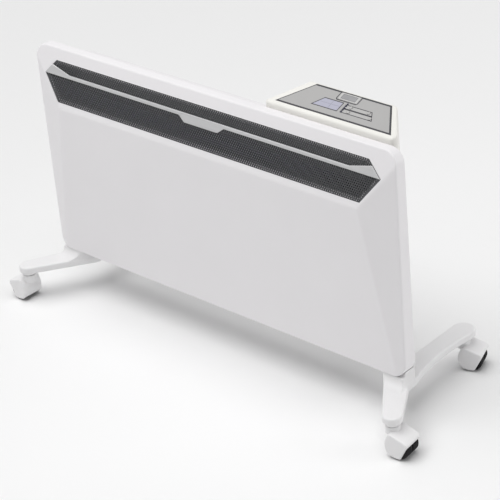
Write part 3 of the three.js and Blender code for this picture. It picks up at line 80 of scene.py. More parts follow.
# outlet grille: heights up the slope of the upper facet, and half widths at them
GRILLE_BOTTOM = 12.4
GRILLE_BOTTOM_HALF = 351
GRILLE_TIP = 61
GRILLE_TIP_HALF = 388
GRILLE_TOP = 88.3
GRILLE_TOP_HALF = 361
GRILLE_SHEET = 1.2
GRILLE_POCKET = 2
GRILLE_LEDGE = 6
LEDGE_DROP = 0.9
LEDGE_WALL = 1.1
LEDGE_REACH = 8
BORDER_LEVEL = 0.9
BORDER_SIDE = 4.2
BORDER_HALF_THICKNESS = 0.55

# trim strip along the grille's tips
STRIP_WIDTH = 7
STRIP_RISE = 2.4
STRIP_FLARE_START = 324
STRIP_FLARE_RISE = 18.5
STRIP_TAB_DROP = 10.4
STRIP_TAB_TOP = 52
STRIP_TAB_BOTTOM = 39
STRIP_TAB_HOLLOW = 0.35
STRIP_MIDDLE = GRILLE_TIP + STRIP_WIDTH / 2

# rear cover
FLANGE_SHEET = 2.2
FLANGE_BACK = RIM_DEPTH + CLEARANCE + FLANGE_SHEET
COVER_BOTTOM = 103

# control unit: a tapered box with a leaning label, whose front edge lies at the label's lift
UNIT_LEFT = 119
UNIT_RIGHT = 402
UNIT_TAPER = 51
UNIT_FRONT = FLANGE_BACK + CLEARANCE
UNIT_DEPTH = 67
UNIT_BOTTOM = 458.3
UNIT_BOTTOM_EDGE = 0.5
UNIT_CORNER = 9
UNIT_TIP_CORNER = 4
UNIT_WALL = 2.2
TOP_LEAN = math.radians(18)
LABEL_LIFT = 525
LABEL_SETBACK = 7.2
LABEL_LEFT = 140
LABEL_RIGHT = 383
LABEL_TAPER_LEFT = 46
LABEL_TAPER_RIGHT = 40
LABEL_DEPTH = 58.5
LABEL_POCKET = 1
LABEL_THICKNESS = 0.7
LABEL_PLAN = [(LABEL_LEFT, 0), (LABEL_RIGHT, 0), (LABEL_RIGHT - LABEL_TAPER_RIGHT, LABEL_DEPTH),
              (LABEL_LEFT + LABEL_TAPER_LEFT, LABEL_DEPTH)]
WINDOW = (242, 282, 41, 56.5)
WINDOW_PANE = (14.6, 4.8)  # half width and half depth
WINDOW_RIM = (15.3, 5.5)
LAMP_X = 268.5
LAMP_FIRST = 16.5
LAMP_PITCH = 4.7
LAMP_COUNT = 5
LAMP_RADIUS = 1.7
KEY_RADIUS = 3.1
KEY_PLACES = {"key_mode": (279, 30), "key_timer": (316, 30),
              "key_minus": (281, 19.5), "key_plus": (326, 19.5)}
ROCKER = {"along": 50, "lift": 495, "length": 20, "width": 13}
GLAND = {"along": 22, "lift": 473, "radius": 6.5}

# print on the label: outlines and the widths of their lines
FIELD_PLAN = [(205, 14.6), (260.5, 14.6), (260.5, 36.5), (220, 36.5)]
UPPER_PANE = [(266, 24.4), (327, 24.4), (321, 34), (266, 34)]
LOWER_PANE = [(266, 14.8), (333, 14.8), (327, 24.4), (266, 24.4)]
WELL_PLAN = [(239, 41.5), (242, 38.2), (282, 38.2), (285, 41.5), (285, 70), (239, 70)]
CROSS_X, CROSS_Y = 240, 26
FIELD_LINE = 1.7
PANE_LINE = 1.5
WELL_LINE = 1.9
BORDER_LINE = 1.5
RIGHT_BORDER_LINE = 3.2

# right foot, seen from above: arms to a toe in front and one behind, and a riser under the panel
FOOT_TOP = 75
FOOT_THICKNESS = 14
FOOT_BOTTOM = FOOT_TOP - FOOT_THICKNESS
FOOT_LOWER_EDGE = 2.2
FRONT_TOE = Vector((441, -77))
REAR_TOE = Vector((381, 199))
FRONT_TOE_RADIUS = 17.5
REAR_TOE_RADIUS = 21.5
FOOT_INNER = 347
FOOT_OUTER = 411
FOOT_BEND = 9
FOOT_BEND_STEP = Vector((3, -6))
FOOT_WAIST = Vector((388, 100))
RISER_INNER = 368
RISER_FRONT = -8
RISER_SHOULDER = 4
RAMP_SPREAD = 24
RAMP_RISE = 17
RAMP_SINK = 0.6
RAMP_INNER_LEAN = 0.75
RAMP_OUTER_LEAN = 0.4
COLLAR_RADIUS = 15
COLLAR_DROP = 4
COLLAR_BOTTOM = FOOT_BOTTOM - COLLAR_DROP
COLLAR_EDGE = 1.2
PAD_INNER = 350
PAD_OUTER = 384
PAD_START = 7
PAD_END = 62
TAB_WIDTH = 12
TAB_SHEET = 3.6
TAB_TOP = 148
ROOT_SINK = 5
MELT_SIZE = 1.3
FOOT_SCREW_X = 360
FOOT_SCREW_ROWS = (33, 49)
FOOT_SCREW_SINK = 20
SCREW_RADIUS = 2
SCREW_HEAD_RADIUS = 3.9
SCREW_HEAD_HEIGHT = 2.4
SCREW_RECESS = (1.1, 1.3)
STEM_RADIUS = 4
STEM_REACH = 14
STEM_ROOT = 4

# castor: its stem stands at the origin and its wheels trail along x
WHEEL_RADIUS = 20
WHEEL_WIDTH = 18.5
WHEEL_GAP = 1.6
WHEEL_SHOULDER = 2
WHEEL_ROOM = 1
WHEEL_RIM = 4.5
WHEEL_DISH = 1.2
WHEEL_HUB = 7
GROOVE_SHARES = (0.36, 0.64)
GROOVE_DEPTH = 0.7
GROOVE_HALF = 0.9
GROOVE_FLOOR_HALF = 0.5
CASTOR_TRAIL = 18
HOOD_WALL = 2.5
HOOD_HALF = WHEEL_WIDTH + WHEEL_GAP / 2 + CLEARANCE + HOOD_WALL
HOOD_CROWN = 48.5
HOOD_BOTTOM = 3
HOOD_TAIL = 40
HOOD_TAIL_LIFT = 33
HOOD_TAIL_FOOT = 25
HOOD_OUTLINE = [  # x, height and corner radius
    (HOOD_TAIL_FOOT, HOOD_BOTTOM, 0), (HOOD_TAIL, HOOD_TAIL_LIFT, 0), (37, 37, 9), (32, 39.5, 30),
    (6.5, HOOD_CROWN, 6), (1.5, 45.5, 8), (-4, 33.5, 30), (-5.5, 24, 25), (-3, 12, 15), (4, 5, 15),
    (14, HOOD_BOTTOM, 30)]
NECK_RADIUS = 13
NECK_GAP = 1.8
NECK_ROOT = 9
AXLE_RADIUS = 3
AXLE_SINK = 0.9
AXLE_BORE_SINK = 0.7
CASTOR_PLACES = {  # where the stem stands, and the way the wheels trail in degrees
    "front_right": (FRONT_TOE, 5),
    "rear_right": (REAR_TOE, 19),
    "front_left": (FRONT_TOE * Vector((-1, 1)), 178),
    "rear_left": (REAR_TOE * Vector((-1, 1)), 164),
}

# the picture's camera, turned about a point above the heater's origin
CAMERA_AZIMUTH = math.radians(44.405)
CAMERA_ELEVATION = math.radians(29.651)
CAMERA_ROLL = math.radians(-5.615)
CAMERA_OFFSET = (44.966, 106.530)
CAMERA_DISTANCE = 3624.10
CAMERA_DATUM = 85
CAMERA_SENSOR = 36
CAMERA_FOCAL_PIXELS = 2018.6
CAMERA_WIDTH_PIXELS = 500
CAMERA_LENS = CAMERA_FOCAL_PIXELS / CAMERA_WIDTH_PIXELS * CAMERA_SENSOR

panel_low, panel_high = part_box("front_panel")
ORIGIN = Vector(((panel_low.x + panel_high.x) / 2, panel_high.y - RIM_DEPTH * MM, 0))
TO_FRAME = Matrix.Translation(ORIGIN) @ Matrix.Scale(MM, 4)

BODY_OF = {node: body for body, nodes in frame["record"]["behaviour"]["bodies"].items()
           for node in nodes}
SLOT_OF = {part["node"]: part["material_slot"] for part in frame["record"]["subparts"]}


def axes(x_axis, y_axis, z_axis, origin=(0, 0, 0)):
    """Matrix that sets local points on these axes, from this origin."""
    turn = Matrix((x_axis, y_axis, z_axis)).transposed().to_4x4()
    return Matrix.Translation(Vector(origin)) @ turn


# x across, y up, z towards the viewer
UPRIGHT = axes((1, 0, 0), (0, 0, 1), (0, -1, 0))
# x across, y up the upper facet from the fold, z outwards
SLOPE = axes((1, 0, 0), (0, math.sin(UPPER_LEAN), math.cos(UPPER_LEAN)),
             (0, -math.cos(UPPER_LEAN), math.sin(UPPER_LEAN)), (0, -FOLD_REACH, FOLD_LIFT))
# x across, y up the label from its front edge, z outwards
LABEL = axes((1, 0, 0), (0, math.cos(TOP_LEAN), math.sin(TOP_LEAN)),
             (0, -math.sin(TOP_LEAN), math.cos(TOP_LEAN)),
             (0, UNIT_FRONT + LABEL_SETBACK, LABEL_LIFT))
# x along the control unit's slanted left side from its rear corner, y inwards, z up
SIDE = Matrix.Translation((UNIT_LEFT + UNIT_TAPER, UNIT_FRONT + UNIT_DEPTH, 0)) @ Matrix.Rotation(
    math.pi + math.atan2(UNIT_DEPTH, UNIT_TAPER), 4, "Z")
# z along the castor's axle
AXLE = Matrix.Translation((CASTOR_TRAIL, 0, WHEEL_RADIUS)) @ UPRIGHT
MIRROR = Matrix.Diagonal((-1, 1, 1, 1))


# ------------------------ outlines and solids
def quarter(steps):
    """Points of a quarter round as shares of its radius: the way from its start and to its end."""
    turns = [math.pi / 2 * step / steps for step in range(steps + 1)]
    return [(1 - math.cos(turn), 1 - math.sin(turn)) for turn in turns]


def mirrored(points):
    """The points of the other side, from the last to the first."""
    return [(-x, y) for x, y in reversed(points)]


def rounded(points, radius, steps=8):
    """Closed outline with an arc in place of each corner; a list gives each corner its radius."""
    radii = radius if isinstance(radius, list) else [radius] * len(points)
    outline = []
    for index, size in enumerate(radii):
        corner = Vector(points[index])
        if size <= 0:
            outline.append(corner)
            continue
        before = (Vector(points[index - 1]) - corner).normalized()
        after = (Vector(points[(index + 1) % len(points)]) - corner).normalized()
        half = before.angle(after) / 2
        centre = corner + (before + after).normalized() * size / math.sin(half)
        reach = size / math.tan(half)
        start = corner + before * reach - centre
        end = corner + after * reach - centre
        outline += [centre + start.slerp(end, step / steps) * size for step in range(steps + 1)]
    return outline


def grown(points, distance):
    """Closed counter-clockwise outline moved outwards by a distance, or inwards if negative."""
    points = [Vector(point) for point in points]
    least = 0.3  # cosine at the sharpest corner
    moved = []
    for index, point in enumerate(points):
        ahead = (points[(index + 1) % len(points)] - point).normalized()
        behind = (point - points[index - 1]).normalized()
        first = Vector((behind.y, -behind.x))
        second = Vector((ahead.y, -ahead.x))
        middle = (first + second).normalized()
        moved.append(point + middle * distance / max(middle.dot(first), least))
    return moved


def loft(bm, rings):
    """Closed solid through rings of equal length, counter-clockwise as seen from the last ring."""
    made = [[bm.verts.new(point) for point in ring] for ring in rings]
    bm.faces.new(reversed(made[0]))
    bm.faces.new(made[-1])
    for low, high in zip(made, made[1:]):
        walled(bm, low, high)


def walled(bm, low, high):
    """Wall of faces between two closed loops of equal length."""
    for index in range(len(low)):
        after = (index + 1) % len(low)
        bm.faces.new((low[index], low[after], high[after], high[index]))


def prism(bm, outline, low, high, matrix=Matrix.Identity(4)):
    """Closed prism over a counter-clockwise outline."""
    loft(bm, [[matrix @ Vector((x, y, z)) for x, y in outline] for z in (low, high)])


def box(bm, x, y, z, matrix=Matrix.Identity(4)):
    """Closed block between two limits on each axis."""
    prism(bm, [(x[0], y[0]), (x[1], y[0]), (x[1], y[1]), (x[0], y[1])], *z, matrix)


def disc(radius, centre=(0, 0), sides=32):
    """Round outline."""
    turns = [2 * math.pi * side / sides for side in range(sides)]
    return [(centre[0] + radius * math.cos(turn), centre[1] + radius * math.sin(turn))
            for turn in turns]


def pillow(bm, outline, low, high, edge_low, edge_high, steps=5, matrix=Matrix.Identity(4)):
    """Prism whose lower and upper edges are rounded."""
    rings = [(edge_low * end, low + edge_low * start) for start, end in quarter(steps)]
    rings += [(edge_high * start, high - edge_high * end) for start, end in quarter(steps)]
    loft(bm, [[matrix @ Vector((x, y, z)) for x, y in grown(outline, -inset)]
              for inset, z in rings])


def lathe(bm, profile, sides, matrix):
    """Ring turned from a closed profile of (radius, height) points."""
    rings = []
    for side in range(sides):
        turn = 2 * math.pi * side / sides
        rings.append([bm.verts.new(matrix @ Vector((r * math.cos(turn), r * math.sin(turn), z)))
                      for r, z in profile])
    for side, ring in enumerate(rings):
        following = rings[(side + 1) % sides]
        for index in range(len(profile)):
            after = (index + 1) % len(profile)
            bm.faces.new((ring[index], following[index], following[after], ring[after]))


def placed(name, data):
    """New object in the scene."""
    obj = bpy.data.objects.new(name, data)
    bpy.context.scene.collection.objects.link(obj)
    return obj


def plain(bm):
    """Mesh of a bmesh, which is freed."""
    mesh = bpy.data.meshes.new("work")
    bm.to_mesh(mesh)
    bm.free()
    return mesh


def mesh_from(build, *values):
    """Mesh made by a function that draws into an empty bmesh."""
    bm = bmesh.new()
    build(bm, *values)
    bmesh.ops.recalc_face_normals(bm, faces=bm.faces)
    return plain(bm)


def worked(mesh, modifiers, setup=None):
    """Plain mesh that comes out of these modifiers, each a type and its settings."""
    obj = placed("work", mesh)
    for kind, settings in modifiers:
        modifier = obj.modifiers.new("step", kind)
        for name, value in settings.items():
            setattr(modifier, name, value)
        if setup:
            setup(modifier)
    evaluated = obj.evaluated_get(bpy.context.evaluated_depsgraph_get())
    result = bpy.data.meshes.new_from_object(evaluated)
    bpy.data.objects.remove(obj)
    return result


def combined(mesh, cutter, operation="DIFFERENCE"):
    """Mesh after a boolean with another closed mesh."""
    tool = placed("tool", cutter)
    tool.hide_render = True
    boolean = {"operation": operation, "solver": "EXACT", "object": tool}
    result = worked(mesh, [("BOOLEAN", boolean)])
    bpy.data.objects.remove(tool)
    return result


def softened(mesh, width, segments=2, angle=30):
    """Mesh whose edges sharper than the angle are rounded."""
    return worked(mesh, [("BEVEL", {
        "width": width, "segments": segments, "limit_method": "ANGLE",
        "angle_limit": math.radians(angle), "use_clamp_overlap": True,
        "miter_outer": "MITER_ARC", "harden_normals": False})])


def piece(name, mesh, finish, like, stands_for=None, matrix=TO_FRAME, sharp=35):
    """Finished piece in the frame, on the body of the node that it is like, under the finish given.
    """
    mesh.transform(matrix)
    if matrix.determinant() < 0:
        mesh.flip_normals()
    mesh.materials.clear()
    mesh.materials.append(finish)
    mesh.shade_smooth()
    mesh.set_sharp_from_angle(angle=math.radians(sharp))
    mesh = worked(mesh, [("WEIGHTED_NORMAL", {"keep_sharp": True})])
    mesh.name = name
    obj = placed(name, mesh)
    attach(obj, BODY_OF[like])
    stands_for = [like] if stands_for is None else stands_for
    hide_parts(*stands_for)


def refined(node, name, width, finish, segments=2, angle=30):
    """Piece with a node's shape and softened edges."""
    bm = bmesh.new()
    bm.from_mesh(frame["nodes"][node].data)
    bmesh.ops.remove_doubles(bm, verts=bm.verts, dist=1e-6)
    bmesh.ops.dissolve_limit(bm, angle_limit=math.radians(0.6), verts=bm.verts, edges=bm.edges)
    mesh = softened(plain(bm), width * MM, segments, angle)
    piece(name, mesh, finish, node, matrix=Matrix.Identity(4))


# ------------------------ node trees
def maths(operation, reflected=False):
    """Method of a wire that adds one Math node."""
    def method(self, *others):
        values = (*others, self) if reflected else (self, *others)
        return self.graph.node("ShaderNodeMath", values, operation=operation)
    return method


class Wire:
    """One output of a node tree; arithmetic on it adds the tree's Math nodes."""

    def __init__(self, graph, socket):
        self.graph = graph
        self.socket = socket

    __add__ = maths("ADD")
    __radd__ = maths("ADD", reflected=True)
    __sub__ = maths("SUBTRACT")
    __rsub__ = maths("SUBTRACT", reflected=True)
    __mul__ = maths("MULTIPLY")
    __rmul__ = maths("MULTIPLY", reflected=True)
    __truediv__ = maths("DIVIDE")
    __rtruediv__ = maths("DIVIDE", reflected=True)
    __mod__ = maths("MODULO")
    __rmod__ = maths("MODULO", reflected=True)
    __gt__ = maths("GREATER_THAN")
    __lt__ = maths("LESS_THAN")
    __abs__ = maths("ABSOLUTE")
    floor = maths("FLOOR")
    least = maths("MINIMUM")
    most = maths("MAXIMUM")

    def clamped(self):
        return self.most(0).least(1)


class Graph:
    """A node tree under construction."""

    def __init__(self, tree):
        self.tree = tree

    def node(self, kind, values=(), output=0, **settings):
        """Adds a node with its settings, and values or wires on its sockets."""
        node = self.tree.nodes.new(kind)
        for name, value in settings.items():
            setattr(node, name, value)
        for key, value in values.items() if isinstance(values, dict) else enumerate(values):
            if isinstance(value, Wire):
                self.tree.links.new(value.socket, node.inputs[key])
            elif value is not None:
                node.inputs[key].default_value = value
        return Wire(self, node.outputs[output]) if node.outputs else None

    def part(self, vector, index):
        """One coordinate of a vector."""
        return self.node("ShaderNodeSeparateXYZ", [vector], index)


def rgba(colour):
    return colour if isinstance(colour, Wire) else (*colour, 1)


class Finish(Graph):
    """Material whose pattern reads the piece's own object coordinates, in metres."""

    def __init__(self, name):
        self.material = bpy.data.materials.new(name)
        self.material.use_nodes = True
        super().__init__(self.material.node_tree)
        self.tree.nodes.clear()
        self.point = self.node("ShaderNodeTexCoord", output="Object")

    def noise(self, scale, detail=3, stretch=None):
        """Noise of this many cells a metre, stretched along the axes, from 0 to 1."""
        point = self.point
        if stretch:
            point = self.node("ShaderNodeMapping", {"Vector": point, "Scale": stretch})
        return self.node("ShaderNodeTexNoise", {"Vector": point, "Scale": scale, "Detail": detail})

    def along(self, direction, origin):
        """Distance in millimetres from a plane through the origin, in the heater's millimetres."""
        start = TO_FRAME @ Vector(origin)
        direction = Vector(direction)
        dot = self.node("ShaderNodeVectorMath", [self.point, direction], "Value",
                        operation="DOT_PRODUCT")
        return (dot - start.dot(direction)) * (1 / MM)

    def mix(self, share, first, second):
        """Colour mixed from two colours."""
        values = {0: share, 6: rgba(first), 7: rgba(second)}
        return self.node("ShaderNodeMix", values, output=2, data_type="RGBA")

    def bump(self, height, strength, distance):
        values = {"Height": height, "Strength": strength, "Distance": distance}
        return self.node("ShaderNodeBump", values)

    def surface(self, colour, roughness, normal=None, **sockets):
        """The finished material."""
        values = {"Base Color": rgba(colour), "Roughness": roughness, "Normal": normal, **sockets}
        shader = self.node("ShaderNodeBsdfPrincipled", values)
        self.node("ShaderNodeOutputMaterial", {"Surface": shader})
        return self.material


# ------------------------ finishes
def shade(colour, factor):
    return tuple(min(channel * factor, 1) for channel in colour)


def coated_metal(name, colour, roughness, tooth):
    """Powder coat: a fine orange peel, a faint change of tone and gloss over the sheet."""
    finish = Finish(name)
    tone = finish.noise(7, 2)
    cloud = finish.noise(60, 3)
    base = finish.mix(tone, shade(colour, 0.975), shade(colour, 1.015))
    peel = finish.noise(1400, 2) + finish.noise(420, 2) * 0.6
    return finish.surface(base, cloud * 0.08 + (roughness - 0.04),
                          finish.bump(peel, tooth, 0.06 * MM))


def moulded_plastic(name, colour, roughness, grain=0.08, scale=1900):
    """Moulded plastic: fine spark-eroded grain and faint flow marks."""
    finish = Finish(name)
    flow = finish.noise(16, 3, (1, 1, 2.5))
    grit = finish.noise(scale, 2)
    base = finish.mix(flow, shade(colour, 0.96), shade(colour, 1.03))
    return finish.surface(base, flow * 0.1 + (roughness - 0.05),
                          finish.bump(grit, grain, 0.05 * MM))


def brushed_metal(name, colour, roughness, stretch, metallic=1.0):
    """Metal with the fine lines of brushing or drawing along one axis."""
    finish = Finish(name)
    lines = finish.noise(90, 4, stretch)
    stain = finish.noise(30, 3)
    base = finish.mix(lines * 0.7 + stain * 0.3, shade(colour, 0.86), shade(colour, 1.1))
    return finish.surface(base, lines * 0.16 + (roughness - 0.08),
                          finish.bump(lines, 0.12, 0.04 * MM), Metallic=metallic)


def tread_rubber(name, colour):
    """Moulded tyre: dull black with dust held in its pores."""
    finish = Finish(name)
    dust = finish.noise(260, 4)
    pores = finish.noise(1500, 2)
    base = finish.mix((dust - 0.45).clamped() * 0.5, colour, shade(colour, 5))
    return finish.surface(base, dust * 0.2 + 0.55, finish.bump(pores, 0.25, 0.1 * MM),
                          **{"Specular IOR Level": 0.2})


def convex_field(across, rise, points):
    """Distance inside a convex counter-clockwise outline on the label, in millimetres."""
    field = None
    for (x0, y0), (x1, y1) in zip(points, points[1:] + points[:1]):
        length = math.hypot(x1 - x0, y1 - y0)
        nx, ny = -(y1 - y0) / length, (x1 - x0) / length
        side = across * nx + rise * ny - (x0 * nx + y0 * ny)
        field = side if field is None else field.least(side)
    return field


def line_of(field, width):
    """1 on a line of this width along the inside of an outline."""
    return (field > 0) * (field < width)


def label_fields(finish, origin):
    """Distances across and up the label from a point on it, in millimetres."""
    return (finish.along((1, 0, 0), origin),
            finish.along((0, math.cos(TOP_LEAN), math.sin(TOP_LEAN)), origin))


def printed_film(name, colours):
    """Grey control film with a dark border and outlined plain fields."""
    finish = Finish(name)
    across, rise = label_fields(finish, (0, UNIT_FRONT + LABEL_SETBACK, LABEL_LIFT))
    mottle = finish.noise(40, 3)
    colour = finish.mix(mottle, shade(colours["film"], 0.965), shade(colours["film"], 1.02))
    for plan, fill, width in ((FIELD_PLAN, "field", FIELD_LINE), (UPPER_PANE, "pane", PANE_LINE),
                              (LOWER_PANE, "pane", PANE_LINE)):
        field = convex_field(across, rise, plan)
        colour = finish.mix(field > 0, colour, colours[fill])
        colour = finish.mix(line_of(field, width), colour, colours["line"])
    upright = line_of(abs(across - CROSS_X), 0.3) * (rise > 17) * (rise < 34)
    level = line_of(abs(rise - CROSS_Y), 0.25) * (across > 218) * (across < 258)
    colour = finish.mix((upright + level).least(1) * 0.5, colour, colours["lamp"])
    well = convex_field(across, rise, WELL_PLAN)
    colour = finish.mix(line_of(well, WELL_LINE), colour, colours["line"])
    beyond = LABEL_LEFT - 99
    right = convex_field(across, rise, [(beyond, 0), *LABEL_PLAN[1:3], (beyond, LABEL_DEPTH)])
    film = convex_field(across, rise, LABEL_PLAN)
    border = ((film < BORDER_LINE) + (right < RIGHT_BORDER_LINE)).least(1)
    colour = finish.mix(border, colour, colours["line"])
    weave = finish.noise(900, 2)
    return finish.surface(colour, mottle * 0.08 + 0.34, finish.bump(weave, 0.06, 0.04 * MM))


def smoked_window(name, colour, rim):
    """Display window: a smoked pane inside a printed pale rim."""
    finish = Finish(name)
    left, right, front, rear = WINDOW
    across, rise = label_fields(finish, LABEL @ Vector(((left + right) / 2, (front + rear) / 2, 0)))
    across, rise = abs(across), abs(rise)
    inside, border = ((across < half) * (rise < tall) for half, tall in (WINDOW_PANE, WINDOW_RIM))
    glow = finish.noise(70, 2)
    base = finish.mix(glow, shade(colour, 0.85), shade(colour, 1.15))
    base = finish.mix(inside, finish.mix(border, rim, shade(colour, 0.4)), base)
    return finish.surface(base, glow * 0.05 + 0.14, **{"Coat Weight": 0.5})


# ------------------------ settings a user would change
def length(name, description, default):
    return bpy.props.FloatProperty(name=name, description=description, default=default * MM,
                                   min=0, precision=4, unit="LENGTH")


def tint(name, description, default):
    return bpy.props.FloatVectorProperty(name=name, description=description, default=default,
                                         size=3, min=0, max=1, subtype="COLOR")


class HeaterSizes(bpy.types.PropertyGroup):
    """Sizes of the finished surfaces."""
    fold_round: length("Fold rounding", "Width of the soft fold between the panel's facets", 7)
    rim_round: length("Rim rounding", "Rounding of the panel's outer edge", 2.6)
    hole_pitch: length("Hole pitch", "Distance between the holes of the grille sheets", 4.6)
    hole_width: length("Hole width", "Width of each hole of the grille sheets", 3.1)
    strip_edge: length("Strip edge", "Rounding of the trim strip's edges", 1.1)
    foot_edge: length("Foot edge", "Rounding of the upper edge of the feet", 3.4)
    hood_edge: length("Hood edge", "Rounding of the castor hoods' sides", 4)
    unit_edge: length("Control unit edge", "Rounding of the control unit's upper edge", 4)


class HeaterColours(bpy.types.PropertyGroup):
    """Colours of the finishes."""
    shell: tint("Shell", "Coated sheet of the panel and the rear cover", (0.83, 0.815, 0.83))
    grille: tint("Grille", "Perforated grille sheets", (0.052, 0.053, 0.057))
    strip: tint("Trim strip", "Strip across the grille", (0.53, 0.53, 0.535))
    foot: tint("Feet", "Feet and castor hoods", (0.80, 0.795, 0.80))
    unit: tint("Control unit", "Housing of the control unit", (0.83, 0.82, 0.78))
    film: tint("Control film", "Film on top of the control unit", (0.41, 0.405, 0.4))
    field: tint("Film field", "Blank field printed on the control film", (0.42, 0.42, 0.51))
    print_line: tint("Printed line", "Lines printed on the control film", (0.022, 0.022, 0.028))
    lamp: tint("Lamps", "Indicator lamps, unlit", (0.008, 0.01, 0.045))
    tread: tint("Treads", "Castor wheels", (0.005, 0.005, 0.0055))


def finishes(context):
    """Every finish of the heater by name, made once."""
    colours = context.scene.heater_colours
    printed = {"film": tuple(colours.film), "field": tuple(colours.field),
               "line": tuple(colours.print_line), "lamp": tuple(colours.lamp),
               "pane": shade(colours.film, 1.1)}
    recipes = {
        "shell_white": (coated_metal, colours.shell, 0.42, 0.05),
        "grille_charcoal": (coated_metal, colours.grille, 0.5, 0.1),
        "trim_silver": (brushed_metal, colours.strip, 0.34, (0.05, 6, 6), 0.55),
        "foot_white": (moulded_plastic, colours.foot, 0.38),
        "unit_cream": (moulded_plastic, colours.unit, 0.42, 0.1),
        "film_print": (printed_film, printed),
        "key_film": (moulded_plastic, shade(colours.film, 1.08), 0.36, 0.05),
        "window_smoke": (smoked_window, (0.3, 0.3, 0.31), shade(colours.film, 1.3)),
        "lamp_blue": (moulded_plastic, colours.lamp, 0.2, 0.02),
        "moulded_black": (moulded_plastic, (0.012, 0.012, 0.014), 0.4, 0.2),
        "tread_black": (tread_rubber, colours.tread),
        "fin_aluminium": (brushed_metal, (0.56, 0.57, 0.58), 0.42, (0.04, 5, 5)),
        "bare_steel": (brushed_metal, (0.46, 0.46, 0.47), 0.38, (0.3, 3, 3)),
        "ceramic_white": (moulded_plastic, (0.83, 0.81, 0.76), 0.3, 0.05),
        "board_green": (moulded_plastic, (0.025, 0.11, 0.05), 0.3, 0.1, 700),
        "lead_grey": (moulded_plastic, (0.4, 0.39, 0.38), 0.5, 0.15),
    }
    made = {}
    for name, (maker, *values) in recipes.items():
        title = "finish_" + name
        made[name] = bpy.data.materials.get(title) or maker(title, *values)
    return made


# ------------------------ stage
def world_light(strength):
    """Even sky that lights the heater; what the camera and mirrors see of it is white."""
    world = bpy.data.worlds.new("studio")
    world.use_nodes = True
    graph = Graph(world.node_tree)
    graph.tree.nodes.clear()
    camera, glossy, clear = (graph.node("ShaderNodeLightPath", output="Is " + ray + " Ray")
                             for ray in ("Camera", "Glossy", "Transmission"))
    sky, white = (graph.node("ShaderNodeBackground", {"Color": (1, 1, 1, 1), "Strength": power})
                  for power in (strength, 1.0))
    blend = graph.node("ShaderNodeMixShader", [camera.most(glossy).most(clear), sky, white])
    graph.node("ShaderNodeOutputWorld", {"Surface": blend})
    bpy.context.scene.world = world


def area_lamp(name, place, target, size, power):
    """Round diffuser aimed at a point."""
    light = bpy.data.lights.new(name, "AREA")
    light.shape = "DISK"
    light.size = size
    light.energy = power
    lamp = placed(name, light)
    lamp.location = place
    lamp.rotation_euler = (Vector(target) - Vector(place)).to_track_quat("-Z", "Y").to_euler()


def soft_sun(name, source, spread, strength):
    """Even light from one direction, as from a large diffuser."""
    light = bpy.data.lights.new(name, "SUN")
    light.angle = math.radians(spread)
    light.energy = strength
    placed(name, light).rotation_euler = Vector(source).to_track_quat("Z", "Y").to_euler()


def picture_camera():
    """Camera at the picture's angle."""
    turn, climb = CAMERA_AZIMUTH, CAMERA_ELEVATION
    back = Vector((math.sin(turn) * math.cos(climb), -math.cos(turn) * math.cos(climb),
                   math.sin(climb)))
    level = Vector((math.cos(turn), math.sin(turn), 0))
    upright = back.cross(level)
    right = level * math.cos(CAMERA_ROLL) + upright * math.sin(CAMERA_ROLL)
    up = upright * math.cos(CAMERA_ROLL) - level * math.sin(CAMERA_ROLL)
    centre = right * CAMERA_OFFSET[0] + up * CAMERA_OFFSET[1] + back * CAMERA_DISTANCE
    centre.z += CAMERA_DATUM
    data = bpy.data.cameras.new("picture_camera")
    data.sensor_fit = "HORIZONTAL"
    data.sensor_width = CAMERA_SENSOR
    data.lens = CAMERA_LENS
    data.clip_start = 0.1
    data.clip_end = 60
    camera = placed("picture_camera", data)
    camera.matrix_world = axes(right, up, back, TO_FRAME @ centre)
    bpy.context.scene.camera = camera


def floor_sheet(bm, reach):
    """Level sheet at floor height, facing up."""
    corners = [(-reach, -reach), (reach, -reach), (reach, reach), (-reach, reach)]
    bm.faces.new([bm.verts.new((x, y, 0)) for x, y in corners])
    bmesh.ops.subdivide_edges(bm, edges=bm.edges, cuts=7, use_grid_fill=True)


class HEATER_OT_stage(bpy.types.Operator):
    """Sets the floor, the soft light and the camera"""
    bl_idname = "heater.stage"
    bl_label = "Stage"

    def execute(self, context):
        finish = Finish("pale_floor")
        base = finish.mix(finish.noise(3, 2), (0.885, 0.885, 0.885), (0.89, 0.89, 0.89))
        mesh = mesh_from(floor_sheet, 9)
        if mesh.polygons[0].normal.z < 0:
            mesh.flip_normals()
        mesh.materials.append(finish.surface(base, 0.9, **{"Specular IOR Level": 0.1}))
        ground = placed("floor", mesh)
        world_light(0.285)
        soft_sun("overhead", source=(-0.12, -0.2, 1.0), spread=58, strength=1.9)
        area_lamp("front_fill", place=(-2.6, -2.8, 1.5), target=(-0.1, 0, 0.4), size=1.3, power=4.6)
        area_lamp("key", place=(-0.15, -0.65, 1.45), target=(0, 0, 0.5), size=1.0, power=2.9)
        area_lamp("side_fill", place=(2.8, 1.4, 0.8), target=(0.4, 0, 0.2), size=1.4, power=20)
        picture_camera()
        context.scene.view_settings.view_transform = "Standard"
        return {"FINISHED"}


# ------------------------ front panel
def panel_outline(inset):
    """The panel's outline as seen from the front, moved in."""
    half = PANEL_WIDTH / 2 - inset
    low, high = PANEL_BOTTOM + inset, PANEL_TOP - inset
    corners = [(-half, low), (half, low), (half, high), (-half, high)]
    return rounded(corners, PANEL_CORNER - inset, 12)


